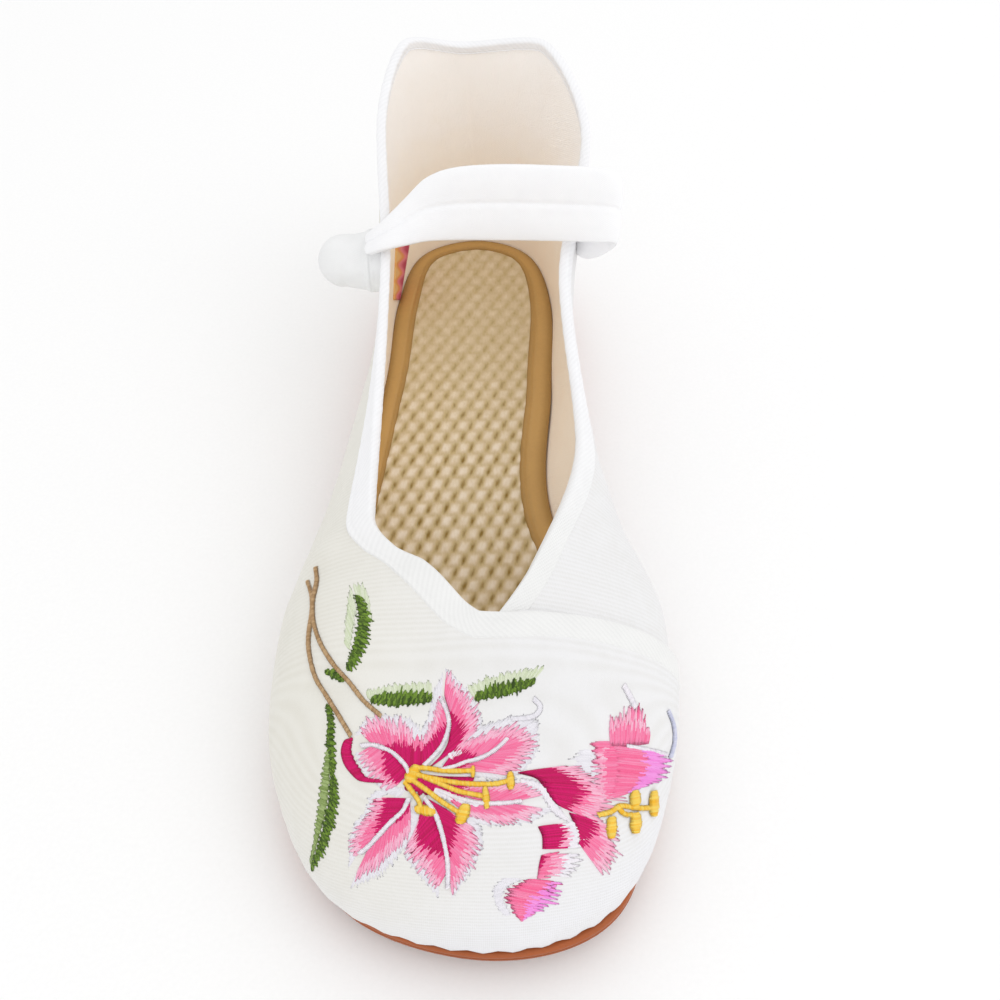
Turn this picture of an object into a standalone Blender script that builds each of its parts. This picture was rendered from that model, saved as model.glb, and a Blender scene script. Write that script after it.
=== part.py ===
# Right embroidered cloth shoe with a wrapped vamp, an instep strap and a ball button.
# Toe towards -Y, heel towards +Y, medial side towards +X, floor at Z = 0.
# Sizes below are in millimetres.
import bpy
import numpy as np

MM = 0.001

# Overall sizes
HALF_LENGTH = 121.4
MIDDLE_Y = -0.7
CENTRE_X = 2.196
CENTRE_Y = -0.392
WALL = 1.6
GAP = 0.3

# Sole heights
HEEL_TOP = 15.0
FORE_TOP = 8.0
TOE_SPRING_TOP = 3.0
TOE_SPRING_BOTTOM = 6.0
ARCH_RISE = 2.6

# Insole
INSOLE_THICK = 3.0
BAND_WIDTH = 7.0
BAND_TRIM = 3.4

# Wrapped vamp: the lateral panel ends in a step on the medial side
FLAP_PHI = 242.0
FLAP_STEP_PHI = 0.4
FLAP_LIFT = 1.8
FLAP_FADE = 38.0

# Collar binding
BIND_LEG = 6.5
BIND_THICK = 0.7

# Strap band
STRAP_HALF_THICK = 1.2

# Ball button on the lateral side, and the strap's loop round its neck
BALL_CENTRE = (-37.0, 56.0, 57.5)
BALL_RADIUS = 7.3
NECK_RADIUS = 6.0
NECK_END_X = -27.5
LOOP_RADIUS = 7.6
LOOP_CORD = 1.4

# One row per section round the last: angle from the heel back over the lateral side, the feather
# edge, the width of sole that shows outside it, the top edge, and the fullness of the curve between.
SECTION_COLUMNS = ("phi", "foot_x", "welt", "top_x", "top_y", "top_z", "swell", "lift", "reach", "drop")
SECTIONS = (
    (0.0, 0.0, 1.2, -3.0, 116.5, 92.0, 4.0, 26.0, 4.0, 28.0),
    (22.5, -20.5, 1.2, -20.0, 108.0, 97.0, 3.0, 30.0, 1.0, 30.0),
    (45.0, -27.5, 1.2, -26.5, 82.0, 86.5, 3.0, 25.0, 2.0, 25.0),
    (67.5, -29.5, 1.0, -24.6, 46.0, 66.0, 2.0, 22.0, 1.5, 20.0),
    (90.0, -34.0, 0.6, -24.8, 4.0, 53.0, 7.8, 18.0, 7.4, 16.0),
    (112.5, -42.5, -0.4, -24.0, -30.0, 49.0, 11.0, 18.0, 15.2, 6.0),
    (124.0, -44.6, -1.0, -18.2, -39.1, 48.6, 10.0, 18.8, 21.6, 3.3),
    (135.0, -43.5, -1.2, -10.5, -44.5, 49.0, 8.4, 20.0, 28.0, 2.0),
    (157.5, -26.6, -0.2, 0.0, -54.8, 45.7, 8.4, 23.0, 35.0, 2.0),
    (180.0, 6.0, 1.0, 4.0, -57.8, 45.7, 5.6, 25.0, 36.0, 3.0),
    (202.5, 33.4, 1.3, 5.0, -58.3, 45.7, 5.6, 23.0, 36.0, 2.0),
    (225.0, 45.8, -1.6, 6.0, -58.3, 45.7, 10.0, 20.0, 32.0, 2.0),
    (242.0, 45.0, -0.8, 7.0, -57.8, 45.7, 16.2, 18.0, 32.0, 3.0),
    (250.0, 42.0, 0.4, 16.0, -44.4, 47.6, 17.8, 18.0, 28.4, 8.0),
    (270.0, 24.0, 1.0, 29.4, -6.0, 52.0, 12.0, 20.0, 9.0, 14.0),
    (292.5, 25.5, 1.0, 26.5, 42.0, 63.0, 6.0, 22.0, 4.0, 18.0),
    (315.0, 26.5, 1.2, 33.5, 82.0, 82.5, 3.0, 25.0, 1.0, 25.0),
    (337.5, 19.5, 1.2, 20.0, 112.5, 95.0, 3.0, 30.0, 1.0, 30.0),
)
CORNERED = ("top_x", "top_y", "top_z")

# One row per section of the strap, from the root on the medial side to the loop on the lateral side:
# the middle of the band, how far its upper edge leans back from upright, and half its width.
STRAP_COLUMNS = ("x", "y", "z", "lean", "half_width")
STRAP = (
    (34.2, 69.0, 59.0, 2.0, 6.0),
    (33.9, 64.8, 60.4, 3.0, 6.6),
    (34.6, 60.8, 63.6, 5.0, 7.6),
    (36.9, 57.4, 68.8, 9.0, 8.8),
    (39.6, 54.4, 74.6, 13.0, 9.4),
    (39.6, 52.0, 79.0, 15.5, 9.6),
    (34.0, 51.0, 81.0, 17.0, 10.2),
    (22.0, 51.2, 81.4, 17.0, 10.4),
    (8.0, 51.6, 81.4, 18.0, 10.4),
    (-4.0, 52.4, 80.4, 22.0, 9.8),
    (-12.0, 52.7, 78.4, 34.0, 8.4),
    (-17.6, 51.4, 75.6, 48.0, 6.6),
    (-21.6, 50.2, 73.6, 58.0, 5.3),
    (-24.6, 49.6, 71.8, 64.0, 4.3),
    (-27.0, 50.2, 69.8, 68.0, 3.8),
    (-28.3, 50.9, 68.5, 70.0, 3.5),
    (-28.5, 51.6, 67.8, 72.0, 3.3),
)


def eased(t):
    t = np.clip(t, 0.0, 1.0)
    return t * t * (3.0 - 2.0 * t)


def hermite(x, y, slope, at):
    cell = np.clip(np.searchsorted(x, at, side="right") - 1, 0, len(x) - 2)
    width = x[cell + 1] - x[cell]
    t = (at - x[cell]) / width
    start = (1.0 + 2.0 * t) * (1.0 - t) ** 2 * y[cell]
    end = t * t * (3.0 - 2.0 * t) * y[cell + 1]
    bend = t * (1.0 - t) ** 2 * slope[cell] + t * t * (t - 1.0) * slope[cell + 1]
    return start + end + bend * width


def smooth_slopes(x, y):
    slope = np.zeros(len(x))
    slope[1:-1] = (y[2:] - y[:-2]) / (x[2:] - x[:-2])
    slope[0] = (y[1] - y[0]) / (x[1] - x[0])
    slope[-1] = (y[-1] - y[-2]) / (x[-1] - x[-2])
    return slope


def cornered_slopes(x, y):
    step = np.diff(x)
    rise = np.diff(y) / step
    slope = np.zeros(len(x))
    for i in range(1, len(x) - 1):
        if rise[i - 1] * rise[i] > 0.0:
            before = 2.0 * step[i] + step[i - 1]
            after = step[i] + 2.0 * step[i - 1]
            slope[i] = (before + after) / (before / rise[i - 1] + after / rise[i])
    return slope


def column(name, phi):
    place = SECTION_COLUMNS.index(name)
    x = np.array([row[0] for row in SECTIONS])
    y = np.array([row[place] for row in SECTIONS])
    x = np.concatenate([x[-3:] - 360.0, x, x[:3] + 360.0])
    y = np.concatenate([y[-3:], y, y[:3]])
    slopes = cornered_slopes(x, y) if name in CORNERED else smooth_slopes(x, y)
    return hermite(x, y, slopes, np.mod(phi, 360.0))


def feather_height(y):
    rise = (HEEL_TOP - FORE_TOP) * eased((y + 35.0) / 75.0)
    spring = TOE_SPRING_TOP * np.clip((-y - 75.0) / 50.0, 0.0, None) ** 2
    return FORE_TOP + rise + spring


def tread_height(y):
    arch = ARCH_RISE * eased((55.0 - y) / 30.0) * eased((y + 25.0) / 30.0)
    spring = TOE_SPRING_BOTTOM * (np.clip(-y - 78.0, 0.0, None) / 45.0) ** 2
    return arch + spring


def foot(phi):
    y = MIDDLE_Y + HALF_LENGTH * np.cos(np.radians(phi))
    return np.stack([column("foot_x", phi), y, feather_height(y)], -1)


def outward(phi):
    along = (foot(phi + 0.5) - foot(phi - 0.5))[..., :2]
    along /= np.linalg.norm(along, axis=-1, keepdims=True)
    return np.stack([along[..., 1], -along[..., 0], np.zeros(along.shape[:-1])], -1)


def top_edge(phi):
    return np.stack([column(name, phi) for name in CORNERED], -1)


def top_handle(phi):
    up = np.array([0.0, 0.0, 1.0])
    return top_edge(phi) + outward(phi) * column("reach", phi)[..., None] - up * column("drop", phi)[..., None]


def last_point(phi, h):
    phi = np.asarray(phi, float)
    h = np.asarray(h, float)[..., None]
    up = np.array([0.0, 0.0, 1.0])
    low = foot(phi)
    low_handle = low + outward(phi) * column("swell", phi)[..., None] + up * column("lift", phi)[..., None]
    high_handle = top_handle(phi)
    high = top_edge(phi)
    lower = (1.0 - h) ** 3 * low + 3.0 * h * (1.0 - h) ** 2 * low_handle
    return lower + 3.0 * h * h * (1.0 - h) * high_handle + h ** 3 * high


def last_normal(phi, h):
    phi = np.asarray(phi, float)
    h = np.clip(np.asarray(h, float), 0.0, 0.97)
    round_way = last_point(phi + 0.2, h) - last_point(phi - 0.2, h)
    up_way = last_point(phi, h + 0.01) - last_point(phi, h)
    normal = np.cross(round_way, up_way)
    return normal / np.linalg.norm(normal, axis=-1, keepdims=True)


def flap_lift(phi, h):
    here = last_point(phi, h)
    edge = last_point(np.full_like(phi, FLAP_PHI), h)
    near = 1.0 - eased(np.linalg.norm(here - edge, axis=-1) / FLAP_FADE)
    low_fade = 0.2 + 0.8 * eased(h / 0.15)
    return np.where(phi <= FLAP_PHI + 1e-6, FLAP_LIFT * near * low_fade, 0.0)


def outer_wall(phi, h):
    return last_point(phi, h) + last_normal(phi, h) * flap_lift(phi, h)[..., None]


def inner_wall(phi, h):
    return last_point(phi, h) - last_normal(phi, h) * WALL


def material(name, colour, rough):
    made = bpy.data.materials.new(name)
    made.use_nodes = True
    shader = made.node_tree.nodes["Principled BSDF"]
    shader.inputs["Base Color"].default_value = (*colour, 1.0)
    shader.inputs["Roughness"].default_value = rough
    return made


def solid(name, points, faces, look):
    points = (np.asarray(points, float) - np.array([CENTRE_X, CENTRE_Y, 0.0])) * MM
    volume = 0.0
    for face in faces:
        for i in range(1, len(face) - 1):
            volume += np.dot(points[face[0]], np.cross(points[face[i]], points[face[i + 1]]))
    if volume < 0.0:
        faces = [tuple(reversed(face)) for face in faces]
    mesh = bpy.data.meshes.new(name)
    mesh.from_pydata(points.tolist(), [], faces)
    mesh.update()
    mesh.polygons.foreach_set("use_smooth", [True] * len(mesh.polygons))
    mesh.materials.append(look)
    made = bpy.data.objects.new(name, mesh)
    bpy.context.scene.collection.objects.link(made)
    return made


def sweep(name, rings, look, closed):
    count, size = rings.shape[:2]
    faces = []
    for i in range(count if closed else count - 1):
        for j in range(size):
            a = i * size + j
            b = i * size + (j + 1) % size
            c = (i + 1) % count * size + (j + 1) % size
            d = (i + 1) % count * size + j
            faces.append((a, b, c, d))
    if not closed:
        faces.append(tuple(reversed(range(size))))
        faces.append(tuple(range((count - 1) * size, count * size)))
    return solid(name, rings.reshape(-1, 3), faces, look)


def slab(name, rings, look):
    levels, count = rings.shape[:2]
    faces = []
    for i in range(levels - 1):
        for j in range(count):
            k = (j + 1) % count
            faces.append((i * count + j, i * count + k, (i + 1) * count + k, (i + 1) * count + j))
    half = count // 2
    last = (levels - 1) * count
    for j in range(half):
        rung = [j, j + 1, (count - j - 1) % count, (count - j) % count]
        rung = list(dict.fromkeys(rung))
        faces.append(tuple(reversed(rung)))
        faces.append(tuple(last + r for r in rung))
    return solid(name, rings.reshape(-1, 3), faces, look)


def inset_ring(phi, inset, height):
    ring = foot(phi) - outward(phi) * np.asarray(inset)[..., None]
    ring[:, 2] = height(ring[:, 1])
    return ring


# Clear the scene
for old in list(bpy.data.objects):
    bpy.data.objects.remove(old, do_unlink=True)

WHITE_CLOTH = material("white_cloth", (0.82, 0.80, 0.75), 0.85)
BINDING_CLOTH = material("binding_cloth", (0.84, 0.82, 0.78), 0.8)
STRAP_CLOTH = material("strap_cloth", (0.85, 0.84, 0.82), 0.8)
BUTTON_CLOTH = material("button_cloth", (0.85, 0.84, 0.82), 0.75)
LOOP_CLOTH = material("loop_cloth", (0.85, 0.84, 0.82), 0.8)
BROWN_RUBBER = material("brown_rubber", (0.36, 0.11, 0.025), 0.5)
WOVEN_LINEN = material("woven_linen", (0.55, 0.40, 0.20), 0.9)
BROWN_BAND = material("brown_band", (0.36, 0.19, 0.06), 0.6)

# Outsole
EDGE_STEPS = (
    (4.0, "top"),
    (0.9, "top"),
    (0.2, 0.88),
    (0.0, 0.6),
    (0.3, 0.25),
    (1.2, 0.08),
    (2.6, "tread"),
)
ring_phi = np.linspace(0.0, 360.0, 80, endpoint=False)
welt = column("welt", ring_phi)
levels = []
for inset, share in EDGE_STEPS:
    ring = inset_ring(ring_phi, inset - welt, feather_height)
    ring_top = ring[:, 2] - GAP
    ring_low = tread_height(ring[:, 1])
    if share == "top":
        ring[:, 2] = ring_top
    elif share == "tread":
        ring[:, 2] = ring_low
    else:
        ring[:, 2] = ring_low + share * (ring_top - ring_low)
    levels.append(ring)
slab("outsole", np.array(levels), BROWN_RUBBER)

# Insole and the brown band round it
insole_inset = WALL + 0.5
ring_phi = np.linspace(0.0, 360.0, 64, endpoint=False)
flat = np.ones_like(ring_phi)
trim = BAND_TRIM * eased(1.0 - np.abs(ring_phi - 105.0) / 70.0)
BAND_PROFILE = (
    (0.0, GAP),
    (0.0, INSOLE_THICK - 0.4),
    (0.8, INSOLE_THICK + 0.3),
    (BAND_WIDTH - 0.8, INSOLE_THICK + 0.3),
    (BAND_WIDTH, INSOLE_THICK - 0.1),
    (BAND_WIDTH, GAP),
)
rings = []
for inset, rise in BAND_PROFILE:
    ring = inset_ring(ring_phi, insole_inset + inset * (flat - trim / BAND_WIDTH), feather_height)
    ring[:, 2] += rise
    rings.append(ring)
sweep("insole_band", np.array(rings).swapaxes(0, 1), BROWN_BAND, True)
rings = []
for rise in (GAP, INSOLE_THICK):
    ring = inset_ring(ring_phi, insole_inset + BAND_WIDTH + GAP - trim, feather_height)
    ring[:, 2] += rise
    rings.append(ring)
slab("insole", np.array(rings), WOVEN_LINEN)

# Upper, one hollow wall from the feather edge to the collar
WALL_LEVELS = 15
wall_phi = np.linspace(0.0, 360.0, 78, endpoint=False)
clear_of_step = np.abs(wall_phi - FLAP_PHI - FLAP_STEP_PHI / 2.0) > 1.6
step_phi = np.array([FLAP_PHI, FLAP_PHI + FLAP_STEP_PHI])
wall_phi = np.sort(np.concatenate([wall_phi[clear_of_step], step_phi]))
wall_h = np.linspace(0.0, 1.0, WALL_LEVELS)
grid_phi, grid_h = np.meshgrid(wall_phi, wall_h, indexing="ij")
rings = np.concatenate([outer_wall(grid_phi, grid_h), inner_wall(grid_phi, grid_h)[:, ::-1]], axis=1)
sweep("upper", rings, WHITE_CLOTH, True)

# Collar binding, a folded tape over the top edge, in two lengths
BIND_GAP = 0.4
BIND_OUT = BIND_GAP + BIND_THICK
BIND_PROFILE = (
    (BIND_LEG, BIND_OUT),
    (0.0, BIND_OUT),
    (-0.7, BIND_OUT - 0.3),
    (-BIND_OUT, 0.0),
    (-BIND_OUT, -WALL),
    (-0.7, -WALL - BIND_OUT + 0.3),
    (0.0, -WALL - BIND_OUT),
    (BIND_LEG, -WALL - BIND_OUT),
    (BIND_LEG, -WALL - BIND_GAP),
    (-BIND_GAP, -WALL - BIND_GAP),
    (-BIND_GAP, BIND_GAP),
    (BIND_LEG, BIND_GAP),
)


def rim_point(phi, below, out):
    top = top_edge(phi)
    down = top_handle(phi) - top
    reach = np.linalg.norm(down, axis=-1)
    h = np.full_like(phi, 1.0) - max(below, 0.0) / (3.0 * reach)
    above = down / reach[..., None] * min(below, 0.0)
    away = out + (flap_lift(phi, h) if out >= 0.0 else 0.0)
    return last_point(phi, h) + above + last_normal(phi, h) * np.asarray(away)[..., None]


for name, start, end, count in (
    ("collar_binding_lateral", 0.3, 178.0, 48),
    ("collar_binding_medial", 244.5, 359.7, 36),
):
    rim_phi = np.linspace(start, end, count)
    rings = np.stack([rim_point(rim_phi, below, out) for below, out in BIND_PROFILE], axis=1)
    sweep(name, rings, BINDING_CLOTH, False)

# Strap
strap_rows = np.array(STRAP)
row_at = np.arange(len(strap_rows), dtype=float)
band_at = np.linspace(0.0, len(strap_rows) - 1.0, 61)
x, y, z, lean, half_width = (
    hermite(row_at, strap_rows[:, k], smooth_slopes(row_at, strap_rows[:, k]), band_at)
    for k in range(len(STRAP_COLUMNS))
)
middle = np.stack([x, y, z], -1)
along = np.gradient(middle, axis=0)
along /= np.linalg.norm(along, axis=-1, keepdims=True)
across = np.stack([np.zeros_like(lean), np.sin(np.radians(lean)), np.cos(np.radians(lean))], -1)
face = np.cross(along, across)
face /= np.linalg.norm(face, axis=-1, keepdims=True)
STRAP_PROFILE = (
    (-1.0, -0.4),
    (-0.94, -1.0),
    (0.94, -1.0),
    (1.0, -0.4),
    (1.0, 0.4),
    (0.94, 1.0),
    (-0.94, 1.0),
    (-1.0, 0.4),
)
rings = []
for wide, thick in STRAP_PROFILE:
    wide_way = across * wide * half_width[:, None]
    rings.append(middle + wide_way + face * thick * STRAP_HALF_THICK)
sweep("strap", np.stack(rings, axis=1), STRAP_CLOTH, False)

# Ball button on a thick neck
TURNS = 24
ball_x, ball_y, ball_z = BALL_CENTRE
shoulder = np.arcsin(NECK_RADIUS / BALL_RADIUS)
ball_angles = np.linspace(np.pi - 0.12, shoulder, 13)
profile = [(ball_x + BALL_RADIUS * np.cos(a), BALL_RADIUS * np.sin(a)) for a in ball_angles]
profile.append((NECK_END_X, NECK_RADIUS))
turn = np.linspace(0.0, 2.0 * np.pi, TURNS, endpoint=False)
rings = []
for along_x, radius in profile:
    ring = np.stack([np.full(TURNS, along_x), ball_y + radius * np.cos(turn), ball_z + radius * np.sin(turn)], -1)
    rings.append(ring)
sweep("button", np.array(rings), BUTTON_CLOTH, False)

# Loop round the neck
loop_x = NECK_END_X - LOOP_CORD - 0.4
rings = []
for a in turn:
    ring = []
    for b in np.linspace(0.0, 2.0 * np.pi, 8, endpoint=False):
        radius = LOOP_RADIUS + LOOP_CORD * np.cos(b)
        ring.append((loop_x + LOOP_CORD * np.sin(b), ball_y + radius * np.cos(a), ball_z + radius * np.sin(a)))
    rings.append(ring)
sweep("button_loop", np.array(rings), LOOP_CLOTH, True)
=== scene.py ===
# Right embroidered cloth shoe with a wrapped vamp, an instep strap and a ball button.
# Toe towards -Y, heel towards +Y, medial side towards +X, floor at Z = 0.
# Sizes are in millimetres, and become metres when a mesh is made.
import bpy
import numpy as np
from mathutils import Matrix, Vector
from mathutils.bvhtree import BVHTree


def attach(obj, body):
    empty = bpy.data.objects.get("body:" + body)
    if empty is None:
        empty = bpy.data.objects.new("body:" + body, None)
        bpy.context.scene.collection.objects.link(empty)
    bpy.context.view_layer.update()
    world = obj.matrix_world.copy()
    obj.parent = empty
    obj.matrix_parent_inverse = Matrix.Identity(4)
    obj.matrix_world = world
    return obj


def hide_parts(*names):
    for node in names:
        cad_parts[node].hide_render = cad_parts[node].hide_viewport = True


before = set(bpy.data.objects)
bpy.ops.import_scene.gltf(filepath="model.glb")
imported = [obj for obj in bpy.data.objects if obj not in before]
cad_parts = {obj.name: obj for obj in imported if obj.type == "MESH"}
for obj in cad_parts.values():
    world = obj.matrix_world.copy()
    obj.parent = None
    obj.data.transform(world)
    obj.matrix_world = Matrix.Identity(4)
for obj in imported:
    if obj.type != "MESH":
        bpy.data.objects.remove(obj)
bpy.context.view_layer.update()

MM = 0.001
TURN = 2.0 * np.pi
UP = np.array([0.0, 0.0, 1.0])
UNSHADED = (1.0, 1.0, 1.0, 1.0)
rng = np.random.default_rng(11)

# Overall sizes
HALF_LENGTH = 121.4
MIDDLE_Y = -0.7
CENTRE = np.array([2.196, -0.392, 0.0])
WALL = 1.6
GAP = 0.3
LINING = 0.7

# Sole heights
HEEL_TOP = 15.0
FORE_TOP = 8.0
TOE_SPRING_TOP = 3.0
TOE_SPRING_BOTTOM = 6.0
ARCH_RISE = 2.6
INSOLE_THICK = 3.0
BAND_WIDTH = 7.0
BAND_TRIM = 3.4
HEEL_TRIM = 2.2

# Wrapped vamp
FLAP_PHI = 242.0
FLAP_STEP_PHI = 0.4
FLAP_LIFT = 1.8
FLAP_FADE = 38.0
HEM_WIDTH = 6.4

# Ball button
BALL_CENTRE = (-37.0, 56.0, 57.5)

# Sections round the last, from the heel back over the lateral side
SECTION_COLUMNS = ("phi", "foot_x", "welt", "top_x", "top_y", "top_z", "swell", "lift", "reach", "drop")
SECTIONS = (
    (0.0, 0.0, 1.2, -3.0, 116.5, 92.0, 4.0, 26.0, 4.0, 28.0),
    (22.5, -20.5, 1.2, -20.0, 108.0, 97.0, 3.0, 30.0, 1.0, 30.0),
    (45.0, -27.5, 1.2, -26.5, 82.0, 86.5, 3.0, 25.0, 2.0, 25.0),
    (67.5, -29.5, 1.0, -24.6, 46.0, 66.0, 2.0, 22.0, 1.5, 20.0),
    (90.0, -34.0, 0.6, -24.8, 4.0, 53.0, 7.8, 18.0, 7.4, 16.0),
    (112.5, -42.5, -0.4, -24.0, -30.0, 49.0, 11.0, 18.0, 15.2, 6.0),
    (124.0, -44.6, -1.0, -18.2, -39.1, 48.6, 10.0, 18.8, 21.6, 3.3),
    (135.0, -43.5, -1.2, -10.5, -44.5, 49.0, 8.4, 20.0, 28.0, 2.0),
    (157.5, -26.6, -0.2, 0.0, -54.8, 45.7, 8.4, 23.0, 35.0, 2.0),
    (180.0, 6.0, 1.0, 4.0, -57.8, 45.7, 5.6, 25.0, 36.0, 3.0),
    (202.5, 33.4, 1.3, 5.0, -58.3, 45.7, 5.6, 23.0, 36.0, 2.0),
    (225.0, 45.8, -1.6, 6.0, -58.3, 45.7, 10.0, 20.0, 32.0, 2.0),
    (242.0, 45.0, -0.8, 7.0, -57.8, 45.7, 16.2, 18.0, 32.0, 3.0),
    (250.0, 42.0, 0.4, 16.0, -44.4, 47.6, 17.8, 18.0, 28.4, 8.0),
    (270.0, 24.0, 1.0, 29.4, -6.0, 52.0, 12.0, 20.0, 9.0, 14.0),
    (292.5, 25.5, 1.0, 26.5, 42.0, 63.0, 6.0, 22.0, 4.0, 18.0),
    (315.0, 26.5, 1.2, 33.5, 82.0, 82.5, 3.0, 25.0, 1.0, 25.0),
    (337.5, 19.5, 1.2, 20.0, 112.5, 95.0, 3.0, 30.0, 1.0, 30.0),
)
CORNERED = ("top_x", "top_y", "top_z")

# Strap: middle of the band, lean of its upper edge, half width
STRAP_HALF_THICK = 1.2
STRAP = (
    (34.2, 69.0, 59.0, 2.0, 6.0),
    (33.9, 64.8, 60.4, 3.0, 6.6),
    (34.6, 60.8, 63.6, 5.0, 7.6),
    (36.9, 57.4, 68.8, 9.0, 8.8),
    (39.6, 54.4, 74.6, 13.0, 9.4),
    (39.6, 52.0, 79.0, 15.5, 9.6),
    (34.0, 51.0, 81.0, 17.0, 10.2),
    (22.0, 51.2, 81.4, 17.0, 10.4),
    (8.0, 51.6, 81.4, 18.0, 10.4),
    (-4.0, 52.4, 80.4, 22.0, 9.8),
    (-12.0, 52.7, 78.4, 34.0, 8.4),
    (-17.6, 51.4, 75.6, 48.0, 6.6),
    (-21.6, 50.2, 73.6, 58.0, 5.3),
    (-24.6, 49.6, 71.8, 64.0, 4.3),
    (-27.0, 50.2, 69.8, 68.0, 3.8),
    (-28.3, 50.9, 68.5, 70.0, 3.5),
    (-28.5, 51.6, 67.8, 72.0, 3.3),
)

# Creases pressed in the cloth: two ends as angle and height, width and depth
CREASES = (
    (196.0, 0.86, 232.0, 0.60, 9.0, 0.55),
    (150.0, 0.80, 205.0, 0.72, 12.0, 0.30),
    (100.0, 0.55, 116.0, 0.90, 8.0, 0.45),
    (112.0, 0.40, 124.0, 0.80, 9.0, 0.40),
    (256.0, 0.45, 262.0, 0.85, 8.0, 0.40),
    (276.0, 0.30, 268.0, 0.75, 9.0, 0.45),
    (300.0, 0.25, 290.0, 0.75, 9.0, 0.40),
    (60.0, 0.30, 70.0, 0.70, 9.0, 0.40),
    (12.0, 0.52, 344.0, 0.56, 7.0, 0.45),
    (26.0, 0.66, 40.0, 0.50, 8.0, 0.35),
    (322.0, 0.62, 336.0, 0.48, 8.0, 0.35),
)


def eased(t):
    t = np.clip(t, 0.0, 1.0)
    return t * t * (3.0 - 2.0 * t)


def hill(distance, width):
    return np.exp(-(distance / width) ** 2)


def hermite(x, y, slope, at):
    cell = np.clip(np.searchsorted(x, at, side="right") - 1, 0, len(x) - 2)
    width = x[cell + 1] - x[cell]
    t = (at - x[cell]) / width
    start = (1.0 + 2.0 * t) * (1.0 - t) ** 2 * y[cell]
    end = t * t * (3.0 - 2.0 * t) * y[cell + 1]
    bend = t * (1.0 - t) ** 2 * slope[cell] + t * t * (t - 1.0) * slope[cell + 1]
    return start + end + bend * width


def smooth_slopes(x, y):
    slope = np.zeros(len(x))
    slope[1:-1] = (y[2:] - y[:-2]) / (x[2:] - x[:-2])
    slope[0] = (y[1] - y[0]) / (x[1] - x[0])
    slope[-1] = (y[-1] - y[-2]) / (x[-1] - x[-2])
    return slope


def cornered_slopes(x, y):
    step = np.diff(x)
    rise = np.diff(y) / step
    slope = np.zeros(len(x))
    for i in range(1, len(x) - 1):
        if rise[i - 1] * rise[i] > 0.0:
            before = 2.0 * step[i] + step[i - 1]
            after = step[i] + 2.0 * step[i - 1]
            slope[i] = (before + after) / (before / rise[i - 1] + after / rise[i])
    return slope


def column(name, phi):
    place = SECTION_COLUMNS.index(name)
    x = np.array([row[0] for row in SECTIONS])
    y = np.array([row[place] for row in SECTIONS])
    x = np.concatenate([x[-3:] - 360.0, x, x[:3] + 360.0])
    y = np.concatenate([y[-3:], y, y[:3]])
    slopes = cornered_slopes(x, y) if name in CORNERED else smooth_slopes(x, y)
    return hermite(x, y, slopes, np.mod(phi, 360.0))


def feather_height(y):
    rise = (HEEL_TOP - FORE_TOP) * eased((y + 35.0) / 75.0)
    spring = TOE_SPRING_TOP * np.clip((-y - 75.0) / 50.0, 0.0, None) ** 2
    return FORE_TOP + rise + spring


def tread_height(y):
    arch = ARCH_RISE * eased((55.0 - y) / 30.0) * eased((y + 25.0) / 30.0)
    spring = TOE_SPRING_BOTTOM * (np.clip(-y - 78.0, 0.0, None) / 45.0) ** 2
    return arch + spring


def foot(phi):
    y = MIDDLE_Y + HALF_LENGTH * np.cos(np.radians(phi))
    return np.stack([column("foot_x", phi), y, feather_height(y)], -1)


def outward(phi):
    along = (foot(phi + 0.5) - foot(phi - 0.5))[..., :2]
    along /= np.linalg.norm(along, axis=-1, keepdims=True)
    return np.stack([along[..., 1], -along[..., 0], np.zeros(along.shape[:-1])], -1)


def top_edge(phi):
    return np.stack([column(name, phi) for name in CORNERED], -1)


def top_handle(phi):
    away = outward(phi) * column("reach", phi)[..., None]
    return top_edge(phi) + away - UP * column("drop", phi)[..., None]


def last_point(phi, h):
    phi = np.asarray(phi, float)
    h = np.asarray(h, float)[..., None]
    low = foot(phi)
    low_handle = low + outward(phi) * column("swell", phi)[..., None] + UP * column("lift", phi)[..., None]
    lower = (1.0 - h) ** 3 * low + 3.0 * h * (1.0 - h) ** 2 * low_handle
    return lower + 3.0 * h * h * (1.0 - h) * top_handle(phi) + h ** 3 * top_edge(phi)


def last_normal(phi, h):
    phi = np.asarray(phi, float)
    h = np.clip(np.asarray(h, float), 0.0, 0.97)
    round_way = last_point(phi + 0.2, h) - last_point(phi - 0.2, h)
    up_way = last_point(phi, h + 0.01) - last_point(phi, h)
    normal = np.cross(round_way, up_way)
    return normal / np.linalg.norm(normal, axis=-1, keepdims=True)


def flap_lift(phi, h):
    here = last_point(phi, h)
    edge = last_point(np.full_like(phi, FLAP_PHI), h)
    near = 1.0 - eased(np.linalg.norm(here - edge, axis=-1) / FLAP_FADE)
    low_fade = 0.2 + 0.8 * eased(h / 0.15)
    return np.where(phi <= FLAP_PHI + 1e-6, FLAP_LIFT * near * low_fade, 0.0)


def unit(v):
    return v / np.linalg.norm(v, axis=-1, keepdims=True)


def run_length(points):
    steps = np.linalg.norm(np.diff(points, axis=0), axis=-1)
    return np.concatenate([[0.0], np.cumsum(steps)])


def from_line(points, line):
    # Distance to a polyline and how far along it the nearest place is
    best = np.full(points.shape[:-1], 1e9)
    place = np.zeros(points.shape[:-1])
    runs = run_length(line)
    for i in range(len(line) - 1):
        way = line[i + 1] - line[i]
        t = np.clip(((points - line[i]) @ way) / (way @ way + 1e-9), 0.0, 1.0)
        gap = np.linalg.norm(points - line[i] - t[..., None] * way, axis=-1)
        closer = gap < best
        best = np.where(closer, gap, best)
        place = np.where(closer, runs[i] + t * (runs[i + 1] - runs[i]), place)
    return best, place / runs[-1], place


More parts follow.
